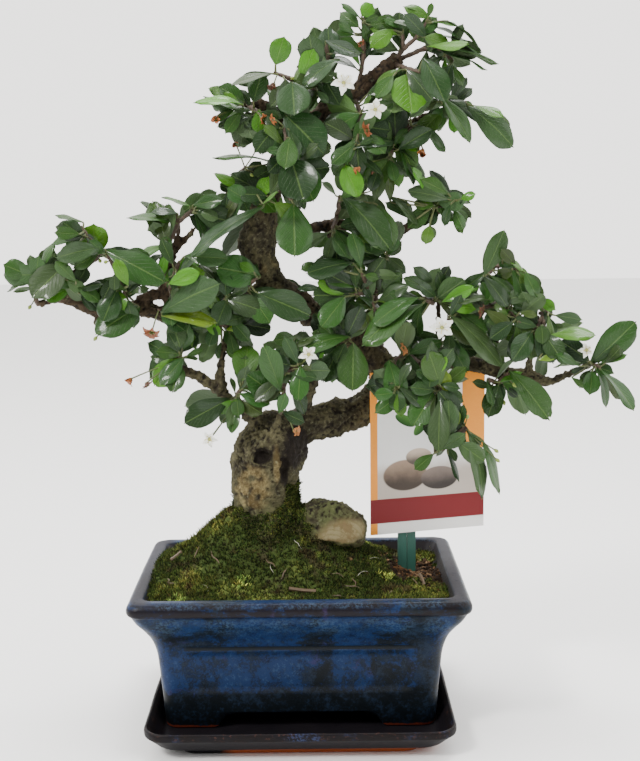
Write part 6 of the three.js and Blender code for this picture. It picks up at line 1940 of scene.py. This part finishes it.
SHOOT_PLACES = lay_out_shoots()
add_extra_leaves(SHOOT_PLACES)
fill_shoots(SHOOT_PLACES)
make_shoots(SHOOT_PLACES, [leaf_over, leaf_under, twig])
make_flowers([white_petal, small_parts])
make_small_blooms(SHOOT_PLACES, [small_parts, small_parts])
mossy_spots = make_trunk([bark])
make_pot([pot_blue])
make_saucer([saucer_dark])
make_moss([moss], mossy_spots)
make_soil([soil])
make_litter([small_parts])
dress("label_card", card_finish())
dress("label_stake", plastic_finish("stake_green", (0.016, 0.080, 0.058), 0.45))
for side_name in ("left", "right"):
    dress(f"drain_mesh_{side_name}",
          plastic_finish(f"mesh_dark_{side_name}", (0.02, 0.02, 0.02), 0.5))


# Camera, floor and light
def place_camera():
    forward = Vector((math.sin(YAW) * math.cos(PITCH_DOWN),
                      math.cos(YAW) * math.cos(PITCH_DOWN), -math.sin(PITCH_DOWN)))
    level_right = Vector((math.cos(YAW), -math.sin(YAW), 0))
    level_up = level_right.cross(forward)
    right = level_right * math.cos(ROLL) + level_up * math.sin(ROLL)
    up = level_up * math.cos(ROLL) - level_right * math.sin(ROLL)
    data = bpy.data.cameras.new("camera")
    data.sensor_fit = "VERTICAL"
    data.sensor_height = SENSOR_HEIGHT
    data.lens = SENSOR_HEIGHT * FOCAL_PX / FRAME_HEIGHT_PX
    data.clip_start = 0.01
    camera = add_object("camera", data)
    turn = Matrix((right, up, -forward)).transposed().to_4x4()
    camera.matrix_world = Matrix.Translation(EYE * MM) @ turn
    bpy.context.scene.camera = camera


def make_floor():
    bm = bmesh.new()
    bmesh.ops.create_grid(bm, x_segments=2, y_segments=2, size=4)
    mesh = mesh_from(bm, "floor")
    mesh.materials.append(floor_finish())
    floor = add_object("floor", mesh)


def add_light(name, place, aim, size, power, colour=(1, 1, 1)):
    data = bpy.data.lights.new(name, "AREA")
    data.shape = "DISK"
    data.size = size
    data.energy = power
    data.color = colour
    light = add_object(name, data)
    way = (Vector(aim) - Vector(place)).to_track_quat("-Z", "Y").to_matrix().to_4x4()
    light.matrix_world = Matrix.Translation(place) @ way


def make_sky():
    """Soft light all round, brightest behind the tree and overhead"""
    world = bpy.data.worlds.new("studio")
    world.use_nodes = True
    nodes, links = world.node_tree.nodes, world.node_tree.links
    way = nodes.new("ShaderNodeTexCoord")
    parts = nodes.new("ShaderNodeSeparateXYZ")
    links.new(way.outputs["Generated"], parts.inputs[0])
    shares = []
    for axis, start, end, low, high in (("Y", -0.5, 0.2, 0.45, 2.6), ("Z", 0.2, 1, 0, 0.8)):
        share = nodes.new("ShaderNodeMapRange")
        for name, value in zip(("From Min", "From Max", "To Min", "To Max"), (start, end, low, high)):
            share.inputs[name].default_value = value
        links.new(parts.outputs[axis], share.inputs["Value"])
        shares.append(share.outputs[0])
    total = nodes.new("ShaderNodeMath")
    for share, socket in zip(shares, total.inputs):
        links.new(share, socket)
    links.new(total.outputs[0], nodes["Background"].inputs["Strength"])
    nodes["Background"].inputs["Color"].default_value = (1, 0.985, 0.96, 1)
    bpy.context.scene.world = world


place_camera()
make_floor()
make_sky()
add_light("window_left", (-1.1, -1.0, 1.5), (0, 0, 0.22), 0.4, 40, (1, 0.98, 0.95))
add_light("fill_right", (1.3, -0.8, 0.9), (0, 0, 0.2), 1.0, 9)
add_light("top", (0.1, 0.2, 1.8), (0, 0, 0.2), 0.6, 26)
